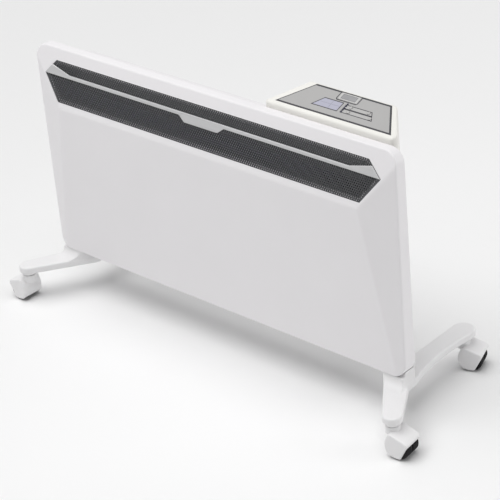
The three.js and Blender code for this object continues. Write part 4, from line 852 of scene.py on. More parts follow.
def panel_planes():
    """The four facets, each a point and an outward normal."""
    fold = Vector((0, -FOLD_REACH, FOLD_LIFT))
    sill = Vector((0, -SILL_REACH, PANEL_BOTTOM))
    planes = [(fold, SLOPE.to_3x3().col[2].copy()),
              (sill, (fold - sill).cross(Vector((-1, 0, 0))).normalized())]
    for side in (1, -1):
        top = Vector((side * RIDGE_TOP, -FOLD_REACH, FOLD_LIFT))
        bottom = Vector((side * RIDGE_BOTTOM, -SILL_REACH, PANEL_BOTTOM))
        corner = Vector((side * PANEL_WIDTH / 2, -CORNER_REACH, CORNER_LIFT))
        normal = (bottom - top).cross(corner - top).normalized()
        planes.append((top, -normal if normal.y > 0 else normal))
    return planes


def panel_block(bm, inset, back):
    """The panel's block behind its facets, with every face moved in."""
    prism(bm, panel_outline(inset), -back, 2 * FOLD_REACH, UPRIGHT)
    for point, normal in panel_planes():
        geometry = bm.verts[:] + bm.edges[:] + bm.faces[:]
        cut = bmesh.ops.bisect_plane(bm, geom=geometry, plane_co=point - normal * inset,
                                     plane_no=normal, clear_outer=True)
        rim = [item for item in cut["geom_cut"] if isinstance(item, bmesh.types.BMEdge)]
        bmesh.ops.edgeloop_fill(bm, edges=rim)


def cut_along_folds(bm, fold):
    """Cuts the flat front into strips along both sides of each fold."""
    ridge = Vector((RIDGE_TOP, FOLD_LIFT))
    lines = [(Vector((0, FOLD_LIFT)), Vector((1, 0)))]
    for end in (Vector((RIDGE_BOTTOM, PANEL_BOTTOM)), Vector((PANEL_WIDTH / 2, CORNER_LIFT))):
        for side in (1, -1):
            lines.append((Vector((side * ridge.x, ridge.y)),
                          Vector((side * (end.x - ridge.x), end.y - ridge.y))))
    strips = 4
    for start, along in lines:
        across = Vector((along.y, -along.x)).normalized()
        for step in range(-strips, strips + 1):
            place = start + across * fold / 2 * step / strips
            bmesh.ops.bisect_plane(bm, geom=bm.verts[:] + bm.edges[:] + bm.faces[:], dist=1e-4,
                                   plane_co=(place.x, 0, place.y), plane_no=(across.x, 0, across.y))


def front_depth(spot, slopes, fold, edge):
    """Depth of the front, blended where two facets are near, and rolled back at the edge."""
    found = [(point.y + (spot.x - point.x) * slope.x + (spot.z - point.z) * slope.y, slope)
             for point, slope in slopes]
    found.sort(key=lambda item: item[0])
    (second, slope_b), (first, slope_a) = found[-2:]
    width = (slope_a - slope_b).length * fold / 2
    depth = first + max(width - (first - second), 0) ** 2 / (4 * width)
    half, middle = PANEL_WIDTH / 2, (PANEL_BOTTOM + PANEL_TOP) / 2
    reach = Vector((max(abs(spot.x) - half + PANEL_CORNER, 0),
                    max(abs(spot.z - middle) - PANEL_HEIGHT / 2 + PANEL_CORNER, 0)))
    inside = PANEL_CORNER - reach.length
    if reach.length == 0:
        inside = min(half - abs(spot.x), PANEL_TOP - spot.z, spot.z - PANEL_BOTTOM)
    rest = max(edge - inside, 0)
    return depth + edge - math.sqrt(max(edge * edge - rest * rest, 0))


def panel_face(bm, fold, edge):
    """The outer block: its facets meet in soft folds and its front edge is rounded."""
    outline = panel_outline(0)
    loops = [[bm.verts.new((x, 0, z)) for x, z in grown(outline, -edge * start)]
             for start, _ in quarter(6)]
    for outer, inner in zip(loops, loops[1:]):
        walled(bm, outer, inner)
    bm.faces.new(loops[-1])
    cut_along_folds(bm, fold)
    slopes = [(point, Vector((-normal.x / normal.y, -normal.z / normal.y)))
              for point, normal in panel_planes()]
    for vertex in bm.verts:
        vertex.co.y = front_depth(vertex.co, slopes, fold, edge)
    border = [line for line in bm.edges if line.is_boundary]
    for item in bmesh.ops.extrude_edge_only(bm, edges=border)["geom"]:
        if isinstance(item, bmesh.types.BMVert):
            item.co.y = RIM_DEPTH
    bmesh.ops.edgeloop_fill(bm, edges=[line for line in bm.edges if line.is_boundary])
    bmesh.ops.triangulate(bm, faces=bm.faces)


GRILLE_OUTLINE = [
    (-GRILLE_BOTTOM_HALF, GRILLE_BOTTOM), (GRILLE_BOTTOM_HALF, GRILLE_BOTTOM),
    (GRILLE_TIP_HALF, GRILLE_TIP), (GRILLE_TOP_HALF, GRILLE_TOP),
    (-GRILLE_TOP_HALF, GRILLE_TOP), (-GRILLE_TIP_HALF, GRILLE_TIP)]


class HEATER_OT_front_panel(bpy.types.Operator):
    """Builds the faceted front panel with its soft folds and the grille's pocket"""
    bl_idname = "heater.front_panel"
    bl_label = "Front panel"

    def execute(self, context):
        sizes = context.scene.heater_sizes

        def grille_prism(distance, low, high):
            return mesh_from(prism, grown(GRILLE_OUTLINE, distance), low, high, SLOPE)

        shell = mesh_from(panel_face, sizes.fold_round / MM, sizes.rim_round / MM)
        shell = combined(shell, mesh_from(panel_block, PANEL_WALL, RIM_DEPTH + 1))
        shell = combined(shell, grille_prism(CLEARANCE, -GRILLE_POCKET, FOLD_REACH))
        shell = combined(shell, grille_prism(-GRILLE_LEDGE, -FOLD_REACH, FOLD_REACH))
        seat = -GRILLE_POCKET - LEDGE_DROP
        ledge = combined(grille_prism(LEDGE_REACH, seat - LEDGE_WALL, seat),
                         grille_prism(-GRILLE_LEDGE, seat - 3, seat + 3))
        shell = combined(shell, ledge, "UNION")
        finish = finishes(context)["shell_white"]
        piece("panel_shell", shell, finish, "front_panel", sharp=28)
        return {"FINISHED"}


# ------------------------ geometry node trees
def tree_of(name, inputs):
    """Empty geometry node tree with number inputs: its graph, its mesh and a wire by input name."""
    tree = bpy.data.node_groups.new(name, "GeometryNodeTree")
    for way in ("INPUT", "OUTPUT"):
        tree.interface.new_socket(name="Geometry", in_out=way, socket_type="NodeSocketGeometry")
    for item in inputs:
        tree.interface.new_socket(name=item, in_out="INPUT", socket_type="NodeSocketFloat")
    graph = Graph(tree)
    source = tree.nodes.new("NodeGroupInput")
    size = {item: Wire(graph, source.outputs[item]) for item in inputs}
    return graph, Wire(graph, source.outputs["Geometry"]), size


def laid_out(graph, instances, finish, merge=None):
    """Ends a tree: its instances made real, under one finish."""
    laid = graph.node("GeometryNodeRealizeInstances", {"Geometry": instances})
    if merge:
        laid = graph.node("GeometryNodeMergeByDistance", {"Geometry": laid, "Distance": merge})
    laid = graph.node("GeometryNodeSetMaterial", {"Geometry": laid, "Material": finish})
    graph.node("NodeGroupOutput", [laid])
    return graph.tree


def cylinder(graph, sides, radius, depth):
    sockets = {"Vertices": sides, "Radius": radius, "Depth": depth}
    return graph.node("GeometryNodeMeshCylinder", sockets)


def from_tree(tree, values, mesh=None):
    """Plain mesh that a geometry node tree makes from these named values."""
    sockets = {item.name: item.identifier for item in tree.interface.items_tree
               if item.in_out == "INPUT"}

    def setup(modifier):
        for name, value in values.items():
            modifier[sockets[name]] = value

    start = mesh or bpy.data.meshes.new("start")
    return worked(start, [("NODES", {"node_group": tree})], setup)


# ------------------------ grille sheets and strip
GRILLE_CORNERS = {"Bottom": (GRILLE_BOTTOM, GRILLE_BOTTOM_HALF),
                  "Tip": (GRILLE_TIP, GRILLE_TIP_HALF),
                  "Top": (GRILLE_TOP, GRILLE_TOP_HALF)}
OUTLINE_SIZES = {f"{corner} {item}": value for corner, values in GRILLE_CORNERS.items()
                 for item, value in zip(("rise", "half width"), values)}


def perforated_tree(finish):
    """Geometry nodes that cover an outline with staggered holes; sizes in millimetres."""
    graph, _, size = tree_of("perforated_sheet", (
        "Hole pitch", "Hole width", "Thickness", "Sheet low", "Sheet high", "Edge room",
        *OUTLINE_SIZES))
    pitch, width, thickness = size["Hole pitch"], size["Hole width"], size["Thickness"]
    low, high, room = size["Sheet low"], size["Sheet high"], size["Edge room"]
    spot = graph.node("GeometryNodeInputPosition")

    # the tile: a hexagonal cell with a round hole and no outer sides
    cell = cylinder(graph, 6, pitch / math.sqrt(3), thickness)
    turn = {"Geometry": cell, "Rotation": (0, 0, math.radians(30))}
    cell = graph.node("GeometryNodeTransform", turn)
    hole = cylinder(graph, 12, width / 2, thickness * 3)
    tile = graph.node("GeometryNodeMeshBoolean", {"Mesh 1": cell, "Mesh 2": hole},
                      operation="DIFFERENCE")
    upward = graph.part(graph.node("GeometryNodeInputNormal"), 2)
    flat = graph.node("ShaderNodeVectorMath", [spot, (1, 1, 0)], operation="MULTIPLY")
    away = graph.node("ShaderNodeVectorMath", [flat], "Value", operation="LENGTH")
    outer = (abs(upward) < 0.5) * (away > (pitch + width) / 4)
    tile = graph.node("GeometryNodeDeleteGeometry", {"Geometry": tile, "Selection": outer},
                      domain="FACE")

    # the lattice: rows up the slope, every second one moved by half a pitch
    row_pitch = pitch * (math.sqrt(3) / 2)
    span = high - low - 2 * room
    rows = (span / row_pitch + 0.35).floor() + 1
    columns = (2 * size["Tip half width"] / pitch).floor() + 3
    step = span / (rows - 1)
    grid = graph.node("GeometryNodeMeshGrid", {
        "Size X": (columns - 1) * pitch, "Size Y": span,
        "Vertices X": columns + 0.1, "Vertices Y": rows + 0.1})
    across, rise = graph.part(spot, 0), graph.part(spot, 1)
    row = ((rise + span / 2) / step + 0.5).floor()
    shift = graph.node("ShaderNodeCombineXYZ",
                       [(row % 2 - 0.5) * pitch / 2, (low + high) / 2, 0.0])
    grid = graph.node("GeometryNodeSetPosition", {"Geometry": grid, "Offset": shift})

    def half_between(first, last):
        """Half width at this height, on the line between two corners of the outline."""
        start, end = size[first + " half width"], size[last + " half width"]
        foot = size[first + " rise"]
        return start + (rise - foot) * (end - start) / (size[last + " rise"] - foot)

    half = half_between("Bottom", "Tip").least(half_between("Tip", "Top"))
    stretch = graph.node("ShaderNodeCombineXYZ", [1.0, step / row_pitch, 1.0])
    laid = graph.node("GeometryNodeInstanceOnPoints", {
        "Points": grid, "Selection": abs(across) < half - room * 1.25, "Instance": tile,
        "Scale": stretch})
    return laid_out(graph, laid, finish, merge=0.02)


def joined(*meshes):
    """One mesh that holds them all."""
    bm = bmesh.new()
    for mesh in meshes:
        bm.from_mesh(mesh)
    return plain(bm)


def grille_half(rise):
    """Half width of the grille's outline at a height of the slope."""
    (low, low_half), (tip, tip_half), (top, top_half) = GRILLE_CORNERS.values()
    return min(low_half + (rise - low) * (tip_half - low_half) / (tip - low),
               tip_half + (rise - tip) * (top_half - tip_half) / (top - tip))


def sheet_outline(low, high, level=0, side=0):
    """The grille's outline between two heights, its level and slanted edges moved in."""
    rises = [low + level] + [GRILLE_TIP] * (low < GRILLE_TIP < high - level) + [high - level]
    right = [(grille_half(rise) - side, rise) for rise in rises]
    return right + mirrored(right)


class HEATER_OT_grilles(bpy.types.Operator):
    """Builds the two perforated sheets of the outlet grille"""
    bl_idname = "heater.grilles"
    bl_label = "Grille sheets"

    def execute(self, context):
        sizes = context.scene.heater_sizes
        finish = finishes(context)["grille_charcoal"]
        tree = perforated_tree(finish)
        middle = CLEARANCE - GRILLE_POCKET + GRILLE_SHEET / 2
        width = sizes.hole_width / MM
        parts = (("lower_sheet", "lower_grille", GRILLE_BOTTOM, STRIP_MIDDLE - CLEARANCE / 2),
                 ("upper_sheet", "upper_grille", STRIP_MIDDLE + CLEARANCE / 2, GRILLE_TOP))
        for name, node, low, high in parts:
            holes = from_tree(tree, {
                "Hole pitch": sizes.hole_pitch / MM, "Hole width": width,
                "Thickness": GRILLE_SHEET, "Sheet low": low, "Sheet high": high,
                "Edge room": width / 2 + 0.75, **OUTLINE_SIZES})
            holes.transform(Matrix.Translation((0, 0, middle)))
            room = sheet_outline(low, high, BORDER_LEVEL, BORDER_SIDE)
            border = combined(
                mesh_from(prism, sheet_outline(low, high), middle - BORDER_HALF_THICKNESS,
                          middle + BORDER_HALF_THICKNESS),
                mesh_from(prism, room, middle - 3, middle + 3))
            sheet = joined(holes, border)
            sheet.transform(SLOPE)
            piece(name, sheet, finish, node, sharp=25)
        return {"FINISHED"}


class HEATER_OT_trim_strip(bpy.types.Operator):
    """Builds the silver strip with its flared ends and blank tab"""
    bl_idname = "heater.trim_strip"
    bl_label = "Trim strip"

    def execute(self, context):
        edge = context.scene.heater_sizes.strip_edge / MM
        flare = GRILLE_TIP + STRIP_FLARE_RISE
        top = GRILLE_TIP + STRIP_WIDTH
        tab = GRILLE_TIP - STRIP_TAB_DROP
        lower = [(STRIP_TAB_BOTTOM, tab), (STRIP_TAB_TOP, GRILLE_TIP),
                 (GRILLE_TIP_HALF - CLEARANCE, GRILLE_TIP)]
        upper = [(grille_half(flare) - CLEARANCE, flare), (STRIP_FLARE_START, top)]
        back = CLEARANCE * 2 - GRILLE_POCKET + GRILLE_SHEET
        face = back + STRIP_RISE
        outline = mirrored(lower) + lower + upper + mirrored(upper)
        strip = softened(mesh_from(prism, outline, back, face, SLOPE), edge, 3)
        low = [(STRIP_TAB_BOTTOM - 1.4, tab + 2), (STRIP_TAB_TOP - 5, GRILLE_TIP + 0.6)]
        high = [(STRIP_TAB_TOP - 7, top - 1.6)]
        hollow = mesh_from(prism, mirrored(low) + low + high + mirrored(high),
                           face - STRIP_TAB_HOLLOW, face + 3, SLOPE)
        finish = finishes(context)["trim_silver"]
        piece("silver_strip", combined(strip, hollow), finish, "trim_strip")
        return {"FINISHED"}


# ------------------------ rear cover and screws
def screw_tree(finish):
    """Geometry nodes that set cross-recess screws on points; sizes in millimetres."""
    graph, points, size = tree_of("cross_screws", (
        "Head radius", "Head height", "Shank radius", "Shank length", "Recess width",
        "Recess depth"))
    radius, height, shank, reach, slot, depth = size.values()

    def lifted(mesh, lift):
        move = graph.node("ShaderNodeCombineXYZ", [0.0, 0.0, lift])
        return graph.node("GeometryNodeTransform", {"Geometry": mesh, "Translation": move})

    rim = lifted(cylinder(graph, 24, radius, height * 0.5), height * 0.25)
    dome = graph.node("GeometryNodeMeshCone", {
        "Vertices": 24, "Radius Bottom": radius, "Radius Top": radius * 0.62,
        "Depth": height * 0.52})
    body = lifted(cylinder(graph, 16, shank, reach + 0.2), (0.2 - reach) / 2)
    whole = graph.node("GeometryNodeMeshBoolean", {"Mesh 2": rim}, operation="UNION")
    for part in (lifted(dome, height * 0.48), body):
        graph.tree.links.new(part.socket, whole.socket.node.inputs["Mesh 2"])
    for wide, tall in ((radius * 1.2, slot), (slot, radius * 1.2)):
        spans = graph.node("ShaderNodeCombineXYZ", [wide, tall, depth * 2])
        bar = lifted(graph.node("GeometryNodeMeshCube", {"Size": spans}), height)
        whole = graph.node("GeometryNodeMeshBoolean", {"Mesh 1": whole, "Mesh 2": bar},
                           operation="DIFFERENCE")
    laid = graph.node("GeometryNodeInstanceOnPoints", {"Points": points, "Instance": whole})
    return laid_out(graph, laid, finish)


class HEATER_OT_rear(bpy.types.Operator):
    """Finishes the rear cover and sets the screws"""
    bl_idname = "heater.rear"
    bl_label = "Rear cover and screws"

    def execute(self, context):
        finish = finishes(context)
        refined("rear_cover", "rear_shell", 0.8, finish["shell_white"])
        tree = screw_tree(finish["bare_steel"])
        flipped = Matrix.Rotation(math.pi, 4, "X")
        for name, words, matrix in (("flange_screws", "case_screw_", UPRIGHT @ flipped),
                                    ("foot_bolts", "foot_screw_", flipped)):
            nodes = sorted(node for node in frame["nodes"] if node.startswith(words))
            back = (TO_FRAME @ matrix).inverted()
            ends = []
            for node in nodes:
                low, high = (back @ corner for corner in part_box(node))
                ends.append((Vector(map(min, low, high)), Vector(map(max, low, high))))
            points = bpy.data.meshes.new("points")
            points.from_pydata([((low.x + high.x) / 2, (low.y + high.y) / 2,
                                 high.z - SCREW_HEAD_HEIGHT) for low, high in ends], [], [])
            low, high = ends[0]
            mesh = from_tree(tree, {
                "Head radius": SCREW_HEAD_RADIUS, "Head height": SCREW_HEAD_HEIGHT,
                "Shank radius": SCREW_RADIUS, "Shank length": high.z - low.z - SCREW_HEAD_HEIGHT,
                "Recess width": SCREW_RECESS[0], "Recess depth": SCREW_RECESS[1]}, points)
            piece(name, mesh, finish["bare_steel"], nodes[0], nodes, TO_FRAME @ matrix, sharp=28)
        return {"FINISHED"}


# ------------------------ feet
def tangent_point(start, centre, radius, side):
    """Where the line from the start touches a circle, on its left (1) or right (-1) side."""
    away = start - centre
    turn = side * -math.acos(radius / away.length)
    away = away.normalized() * radius
    return centre + Vector((away.x * math.cos(turn) - away.y * math.sin(turn),
                            away.x * math.sin(turn) + away.y * math.cos(turn)))


def arc(centre, radius, start, end, steps):
    """Points of a counter-clockwise arc."""
    while end < start:
        end += 2 * math.pi
    turns = [start + (end - start) * step / steps for step in range(steps + 1)]
    return [centre + Vector((math.cos(turn), math.sin(turn))) * radius for turn in turns]


def curve(start, control, end, steps):
    """Points of a quadratic curve, without its start."""
    return [start * (1 - t) ** 2 + control * 2 * t * (1 - t) + end * t * t
            for t in (step / steps for step in range(1, steps + 1))]


def foot_plan():
    """Outline of the right foot as seen from above."""
    inner = Vector((FOOT_INNER, RIM_DEPTH))
    outer = Vector((FOOT_OUTER, FOOT_BEND))
    touches = [tangent_point(inner, FRONT_TOE, FRONT_TOE_RADIUS, -1),
               tangent_point(outer, FRONT_TOE, FRONT_TOE_RADIUS, 1)]
    start, end = (math.atan2(*reversed(touch - FRONT_TOE)) for touch in touches)
    points = [inner] + arc(FRONT_TOE, FRONT_TOE_RADIUS, start, end, 20)
    bend = outer + FOOT_BEND_STEP
    points += [bend] + curve(bend, outer, Vector((FOOT_OUTER, RIM_DEPTH)), 5)
    tab_end = Vector((FOOT_OUTER, FLANGE_BACK + CLEARANCE + TAB_SHEET))
    rear_outer = REAR_TOE + Vector((REAR_TOE_RADIUS, 0))
    points += [tab_end] + curve(tab_end, FOOT_WAIST, rear_outer, 18)
    points += arc(REAR_TOE, REAR_TOE_RADIUS, 0, math.pi, 22)[1:]
    inner_x = REAR_TOE.x - REAR_TOE_RADIUS
    pad_start = Vector((inner_x, PAD_END + REAR_TOE_RADIUS))
    pad_bend = Vector((inner_x, PAD_END - REAR_TOE_RADIUS / 2))
    points += [pad_start] + curve(pad_start, pad_bend, Vector((FOOT_INNER, RIM_DEPTH + PAD_START)), 8)
    return points


def foot_body(bm, edge):
    """Right foot as overlapping closed forms, before they are melted together."""
    pillow(bm, foot_plan(), FOOT_BOTTOM, FOOT_TOP, FOOT_LOWER_EDGE, edge)

    # the riser under the panel, and the ramp round its foot
    outer = FOOT_OUTER - CLEARANCE
    inner = FOOT_INNER + RISER_SHOULDER
    root = FOOT_TOP - ROOT_SINK
    riser = [(inner, RIM_DEPTH), (RISER_INNER, RISER_FRONT),
             (outer, RISER_FRONT), (outer, RIM_DEPTH)]
    prism(bm, riser, root, PANEL_BOTTOM - CLEARANCE)
    rings = []
    for start, end in quarter(8):
        spread = RAMP_SPREAD * end
        front = RISER_FRONT - spread
        plan = [(inner, RIM_DEPTH), (RISER_INNER + spread * RAMP_INNER_LEAN, front),
                (outer + spread * RAMP_OUTER_LEAN, front), (outer, RIM_DEPTH)]
        lift = FOOT_TOP - RAMP_SINK + RAMP_RISE * start
        rings.append([Vector((x, y, lift)) for x, y in plan])
    loft(bm, rings)

    # the cheek that fills the space under the panel's round corner
    centre = Vector((PANEL_WIDTH / 2 - PANEL_CORNER, PANEL_BOTTOM + PANEL_CORNER))
    reach = PANEL_CORNER + 2 * CLEARANCE
    side = math.acos((outer - centre.x) / reach)
    cheek = [Vector((centre.x, root)), Vector((outer, root))]
    cheek += arc(centre, reach, -math.pi / 2, -side, 8)[::-1]
    prism(bm, cheek, -RIM_DEPTH, 1, UPRIGHT)

    # the pad under the cover, the tab behind its flange and the collars over the castors
    rear = FLANGE_BACK + CLEARANCE
    box(bm, (PAD_INNER, PAD_OUTER), (rear, PAD_END), (root, COVER_BOTTOM - CLEARANCE))
    box(bm, (outer - TAB_WIDTH, outer), (rear, rear + TAB_SHEET), (root, TAB_TOP))
    for toe in (FRONT_TOE, REAR_TOE):
        pillow(bm, disc(COLLAR_RADIUS, toe, 40), COLLAR_BOTTOM, FOOT_BOTTOM + COLLAR_DROP,
               COLLAR_EDGE, 0.4, 3)


def foot_bores(bm):
    """Bores for the stems and for the heads of the screws."""
    for toe in (FRONT_TOE, REAR_TOE):
        prism(bm, disc(STEM_RADIUS + CLEARANCE, toe, 24), COLLAR_BOTTOM - 2,
              COLLAR_BOTTOM + STEM_REACH + CLEARANCE)
    for row in FOOT_SCREW_ROWS:
        prism(bm, disc(SCREW_HEAD_RADIUS + 1, (FOOT_SCREW_X, row), 24), FOOT_BOTTOM - 2,
              FOOT_BOTTOM + FOOT_SCREW_SINK)


def screw_bores(bm):
    """Bores for the shanks of the screws, up through the pad."""
    for row in FOOT_SCREW_ROWS:
        prism(bm, disc(SCREW_RADIUS + CLEARANCE, (FOOT_SCREW_X, row), 20),
              FOOT_BOTTOM + FOOT_SCREW_SINK - 2, COVER_BOTTOM + 2)


class HEATER_OT_feet(bpy.types.Operator):
    """Builds the two moulded feet"""
    bl_idname = "heater.feet"
    bl_label = "Feet"

    def execute(self, context):
        finish = finishes(context)["foot_white"]
        melt = {"mode": "VOXEL", "voxel_size": MELT_SIZE, "adaptivity": 0.0}
        mesh = mesh_from(foot_body, context.scene.heater_sizes.foot_edge / MM)
        mesh = worked(mesh, [("REMESH", melt), ("SMOOTH", {"factor": 0.5, "iterations": 5})])
        for bores in (foot_bores, screw_bores):
            mesh = combined(mesh, mesh_from(bores))
        for side, matrix in (("right", TO_FRAME), ("left", TO_FRAME @ MIRROR)):
            piece("moulded_foot_" + side, mesh.copy(), finish, "foot_" + side, matrix=matrix,
                  sharp=50)
        return {"FINISHED"}


# ------------------------ castors
def hood_body(bm):
    """Hood from side to side, by its side outline."""
    points = [(x, z) for x, z, _ in HOOD_OUTLINE]
    radii = [radius for _, _, radius in HOOD_OUTLINE]
    prism(bm, rounded(points, radii, 6), -HOOD_HALF, HOOD_HALF, UPRIGHT)


def hood_room(bm):
    """Room for the wheels inside the hood."""
    half, shoulder = HOOD_HALF - HOOD_WALL, WHEEL_SHOULDER
    outline = disc(WHEEL_RADIUS + WHEEL_ROOM, sides=48)
    pillow(bm, outline, -half, half, shoulder, shoulder, 3, AXLE)


def hood_tail(bm):
    """The open tail, behind the slanted edges of the hood's sides."""
    lean = (HOOD_TAIL - HOOD_TAIL_FOOT) / (HOOD_TAIL_LIFT - HOOD_BOTTOM)
    drop, beyond = 8, 90
    low = HOOD_BOTTOM - drop
    outline = [(HOOD_TAIL_FOOT - lean * drop, low), (beyond, low), (beyond, HOOD_TAIL_LIFT),
               (HOOD_TAIL, HOOD_TAIL_LIFT)]
    prism(bm, outline, -60, 60, UPRIGHT)


def hood_underside(bm):
    """All below the hood's lower edge."""
    box(bm, (-60, 80), (-60, 60), (-30, HOOD_BOTTOM))


def axle_form(bm, half, radius):
    """Round bar across the castor, its ends slightly rounded."""
    pillow(bm, disc(radius, sides=28), -half, half, 0.4, 0.4, 2, AXLE)


def neck(bm):
    """Round neck between the hood and the foot's collar."""
    top = COLLAR_BOTTOM - CLEARANCE - NECK_GAP
    pillow(bm, disc(NECK_RADIUS, sides=48), HOOD_CROWN - NECK_ROOT, top, 0.4, COLLAR_EDGE, 3)


def stem(bm):
    """Stem in the foot's bore."""
    pillow(bm, disc(STEM_RADIUS, sides=24), COLLAR_BOTTOM - STEM_ROOT,
           COLLAR_BOTTOM + STEM_REACH, 0.3, 0.8, 2)


def wheel_profile():
    """Twin wheel half: rounded shoulders, a groove round the tread and a dished outer face."""
    near = WHEEL_GAP / 2
    far = near + WHEEL_WIDTH
    bore = AXLE_RADIUS + CLEARANCE
    shoulder = 2 * WHEEL_SHOULDER
    bends = quarter(5)
    profile = [(bore, near), (WHEEL_RADIUS - shoulder, near)]
    profile += [(WHEEL_RADIUS - shoulder * end, near + shoulder * start)
                for start, end in bends[1:5]]
    for share in GROOVE_SHARES:
        middle = near + WHEEL_WIDTH * share
        floor = WHEEL_RADIUS - GROOVE_DEPTH
        profile += [(WHEEL_RADIUS, middle - GROOVE_HALF), (floor, middle - GROOVE_FLOOR_HALF),
                    (floor, middle + GROOVE_FLOOR_HALF), (WHEEL_RADIUS, middle + GROOVE_HALF)]
    profile += [(WHEEL_RADIUS - shoulder * start, far - shoulder * end) for start, end in bends[1:]]
    rim = WHEEL_RADIUS - WHEEL_RIM
    return profile + [(rim, far), (rim - 1, far - WHEEL_DISH), (WHEEL_HUB + 1, far - WHEEL_DISH),
                      (WHEEL_HUB, far), (bore, far)]


class HEATER_OT_castors(bpy.types.Operator):
    """Builds the castor hoods, axles and twin wheels"""
    bl_idname = "heater.castors"
    bl_label = "Castors"

    def execute(self, context):
        finish = finishes(context)
        white, steel, black = (finish[slot] for slot in ("foot_white", "bare_steel", "tread_black"))
        edge = context.scene.heater_sizes.hood_edge / MM
        hood = softened(mesh_from(hood_body), edge, 5, 60)
        for part in (neck, stem):
            hood = combined(hood, mesh_from(part), "UNION")
        for part in (hood_room, hood_tail, hood_underside):
            hood = combined(hood, mesh_from(part))
        bore = mesh_from(axle_form, HOOD_HALF - AXLE_BORE_SINK, AXLE_RADIUS + CLEARANCE / 2)
        hood = combined(hood, bore)
        axle = mesh_from(axle_form, HOOD_HALF - AXLE_SINK, AXLE_RADIUS)
        for place, (toe, degrees) in CASTOR_PLACES.items():
            stand = TO_FRAME @ Matrix.Translation((*toe, 0))
            stand = stand @ Matrix.Rotation(math.radians(degrees), 4, "Z")
            for name, mesh, slot, sharp in (("hood_", hood, white, 40), ("axle_", axle, steel, 35)):
                piece(name + place, mesh.copy(), slot, f"castor_{name}{place}", matrix=stand,
                      sharp=sharp)
            for half in ("a", "b"):
                node = f"castor_wheel_{place}_{half}"
                low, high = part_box(node)
                outward = (stand.inverted() @ ((low + high) / 2)).y
                turn = AXLE if outward < 0 else AXLE @ Matrix.Diagonal((1, -1, -1, 1))
                wheel = mesh_from(lathe, wheel_profile(), 48, turn)
                piece(f"wheel_{place}_{half}", wheel, black, node, matrix=stand, sharp=32)
        return {"FINISHED"}


# ------------------------ control unit
def unit_ring(inset, lift_at):
    """The unit's plan moved in, each point at the height of its depth."""
    plan = [(UNIT_LEFT, UNIT_FRONT), (UNIT_RIGHT, UNIT_FRONT),
            (UNIT_RIGHT - UNIT_TAPER, UNIT_FRONT + UNIT_DEPTH),
            (UNIT_LEFT + UNIT_TAPER, UNIT_FRONT + UNIT_DEPTH)]
    radii = [max(radius - inset, 1) for radius in (UNIT_TIP_CORNER, *[UNIT_CORNER] * 3)]
    outline = rounded(grown(plan, -inset), radii, 10)
    return [Vector((x, y, lift_at(y))) for x, y in outline]


def unit_top(drop):
    """Height of the leaning top at a depth, lowered by the drop."""
    return lambda y: LABEL_LIFT + (y - UNIT_FRONT - LABEL_SETBACK) * math.tan(TOP_LEAN) - drop


def unit_outside(bm, edge):
    """The housing's outer form, its top edge rounded."""
    rings = [unit_ring(UNIT_BOTTOM_EDGE, lambda y: UNIT_BOTTOM),
             unit_ring(0, lambda y: UNIT_BOTTOM + UNIT_BOTTOM_EDGE)]
    rings += [unit_ring(edge * start, unit_top(edge * end)) for start, end in quarter(6)]
    loft(bm, rings)


def unit_inside(bm):
    """The housing's open space."""
    loft(bm, [unit_ring(UNIT_WALL, lambda y: UNIT_BOTTOM - 1),
              unit_ring(UNIT_WALL, unit_top(UNIT_WALL + LABEL_POCKET))])


def window_and_keys(bm, depth, room, sides):
    """Cutters for the window and the keys, between two heights over the label."""
    left, right, front, rear = WINDOW
    box(bm, (left - CLEARANCE, right + CLEARANCE), (front - CLEARANCE, rear + CLEARANCE),
        depth, LABEL)
    for place in KEY_PLACES.values():
        prism(bm, disc(KEY_RADIUS + room, place, sides), *depth, LABEL)


def unit_openings(bm):
    """Openings through the housing's top and slanted side."""
    depth = (-6, 2)
    window_and_keys(bm, depth, 2 * CLEARANCE, 28)
    room = LAMP_RADIUS + CLEARANCE
    last = LAMP_FIRST + (LAMP_COUNT - 1) * LAMP_PITCH
    box(bm, (LAMP_X - room, LAMP_X + room), (LAMP_FIRST - room, last + room), depth, LABEL)
    along, lift = ROCKER["along"], ROCKER["lift"]
    half = ROCKER["width"] / 2 + CLEARANCE
    tall = ROCKER["length"] / 2 + 3 * CLEARANCE
    box(bm, (along - half, along + half), (-6, 6), (lift - tall, lift + tall), SIDE)
    bore = disc(GLAND["radius"] + CLEARANCE, (GLAND["along"], GLAND["lift"]), 28)
    prism(bm, bore, -6, 6, SIDE @ UPRIGHT)


def label_openings(bm):
    """Openings through the printed film."""
    depth = (-4, 4)
    window_and_keys(bm, depth, CLEARANCE, 32)
    for lamp in range(LAMP_COUNT):
        place = (LAMP_X, LAMP_FIRST + lamp * LAMP_PITCH)
        prism(bm, disc(LAMP_RADIUS + CLEARANCE / 2, place, 20), *depth, LABEL)


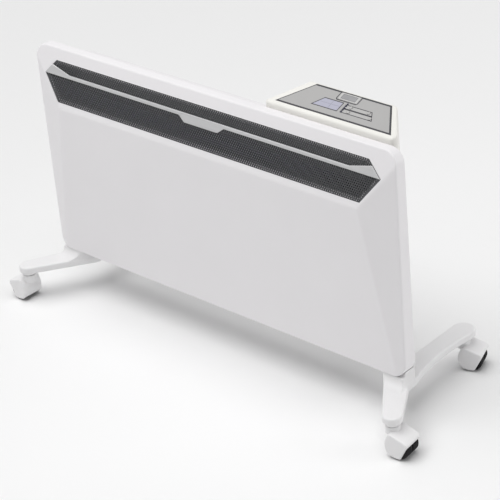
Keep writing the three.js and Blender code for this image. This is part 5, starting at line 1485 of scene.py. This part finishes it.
class HEATER_OT_control_unit(bpy.types.Operator):
    """Builds the control unit's housing, printed film, keys, lamps and window"""
    bl_idname = "heater.control_unit"
    bl_label = "Control unit"

    def execute(self, context):
        finish = finishes(context)
        cream, black = finish["unit_cream"], finish["moulded_black"]
        edge = context.scene.heater_sizes.unit_edge / MM
        housing = combined(mesh_from(unit_outside, edge), mesh_from(unit_inside))
        pocket = mesh_from(prism, grown(LABEL_PLAN, CLEARANCE), -LABEL_POCKET, 8, LABEL)
        housing = combined(combined(housing, pocket), mesh_from(unit_openings))
        piece("unit_shell", housing, cream, "control_housing", sharp=32)
        film = mesh_from(prism, LABEL_PLAN, -LABEL_THICKNESS, 0, LABEL)
        film = softened(combined(film, mesh_from(label_openings)), 0.2, 2)
        piece("printed_film", film, finish["film_print"], "label_plate")
        refined("display_window", "window_pane", 0.3, finish["window_smoke"])
        refined("indicator_lamps", "lamp_lenses", 0.25, finish["lamp_blue"])
        for node in KEY_PLACES:
            refined(node, "cap_of_" + node, 0.3, finish["key_film"], 3, 25)
        refined("control_base", "unit_floor", 0.5, cream)
        refined("rocker_frame", "switch_frame", 0.4, black)
        refined("power_rocker", "switch_rocker", 0.5, black, 3, 20)
        refined("cord_gland", "gland_ring", 0.5, cream, 3)
        refined("plug_block", "unit_plug", 0.4, black)
        return {"FINISHED"}


class HEATER_OT_kept_solids(bpy.types.Operator):
    """Gives the solids inside the heater their finishes"""
    bl_idname = "heater.kept_solids"
    bl_label = "Inner parts"

    def execute(self, context):
        finish = finishes(context)
        named = {"control_cream": "unit_cream", "label_grey": "key_film"}
        for name, node in frame["nodes"].items():
            slot = SLOT_OF[name]
            node.data.materials.clear()
            node.data.materials.append(finish[named.get(slot, slot)])
        return {"FINISHED"}


# ------------------------ add-on
OPERATORS = (HEATER_OT_kept_solids, HEATER_OT_stage, HEATER_OT_front_panel, HEATER_OT_grilles,
             HEATER_OT_trim_strip, HEATER_OT_rear, HEATER_OT_feet, HEATER_OT_castors,
             HEATER_OT_control_unit)


class HEATER_PT_sidebar(bpy.types.Panel):
    """Lists the steps that dress the heater, its sizes and its colours"""
    bl_idname = "HEATER_PT_sidebar"
    bl_label = "Panel convector heater"
    bl_space_type = "VIEW_3D"
    bl_region_type = "UI"
    bl_category = "Heater"

    def draw(self, context):
        for group in (context.scene.heater_sizes, context.scene.heater_colours):
            column = self.layout.column()
            for name in group.__annotations__:
                column.prop(group, name)
        for operator in OPERATORS:
            self.layout.operator(operator.bl_idname)


CLASSES = (HeaterSizes, HeaterColours, *OPERATORS, HEATER_PT_sidebar)


def register():
    for cls in CLASSES:
        bpy.utils.register_class(cls)
    bpy.types.Scene.heater_sizes = bpy.props.PointerProperty(type=HeaterSizes)
    bpy.types.Scene.heater_colours = bpy.props.PointerProperty(type=HeaterColours)


def unregister():
    del bpy.types.Scene.heater_colours
    del bpy.types.Scene.heater_sizes
    for cls in reversed(CLASSES):
        bpy.utils.unregister_class(cls)


def main():
    register()
    for operator in OPERATORS:
        family, name = operator.bl_idname.split(".")
        getattr(getattr(bpy.ops, family), name)()


if __name__ == "__main__":
    main()
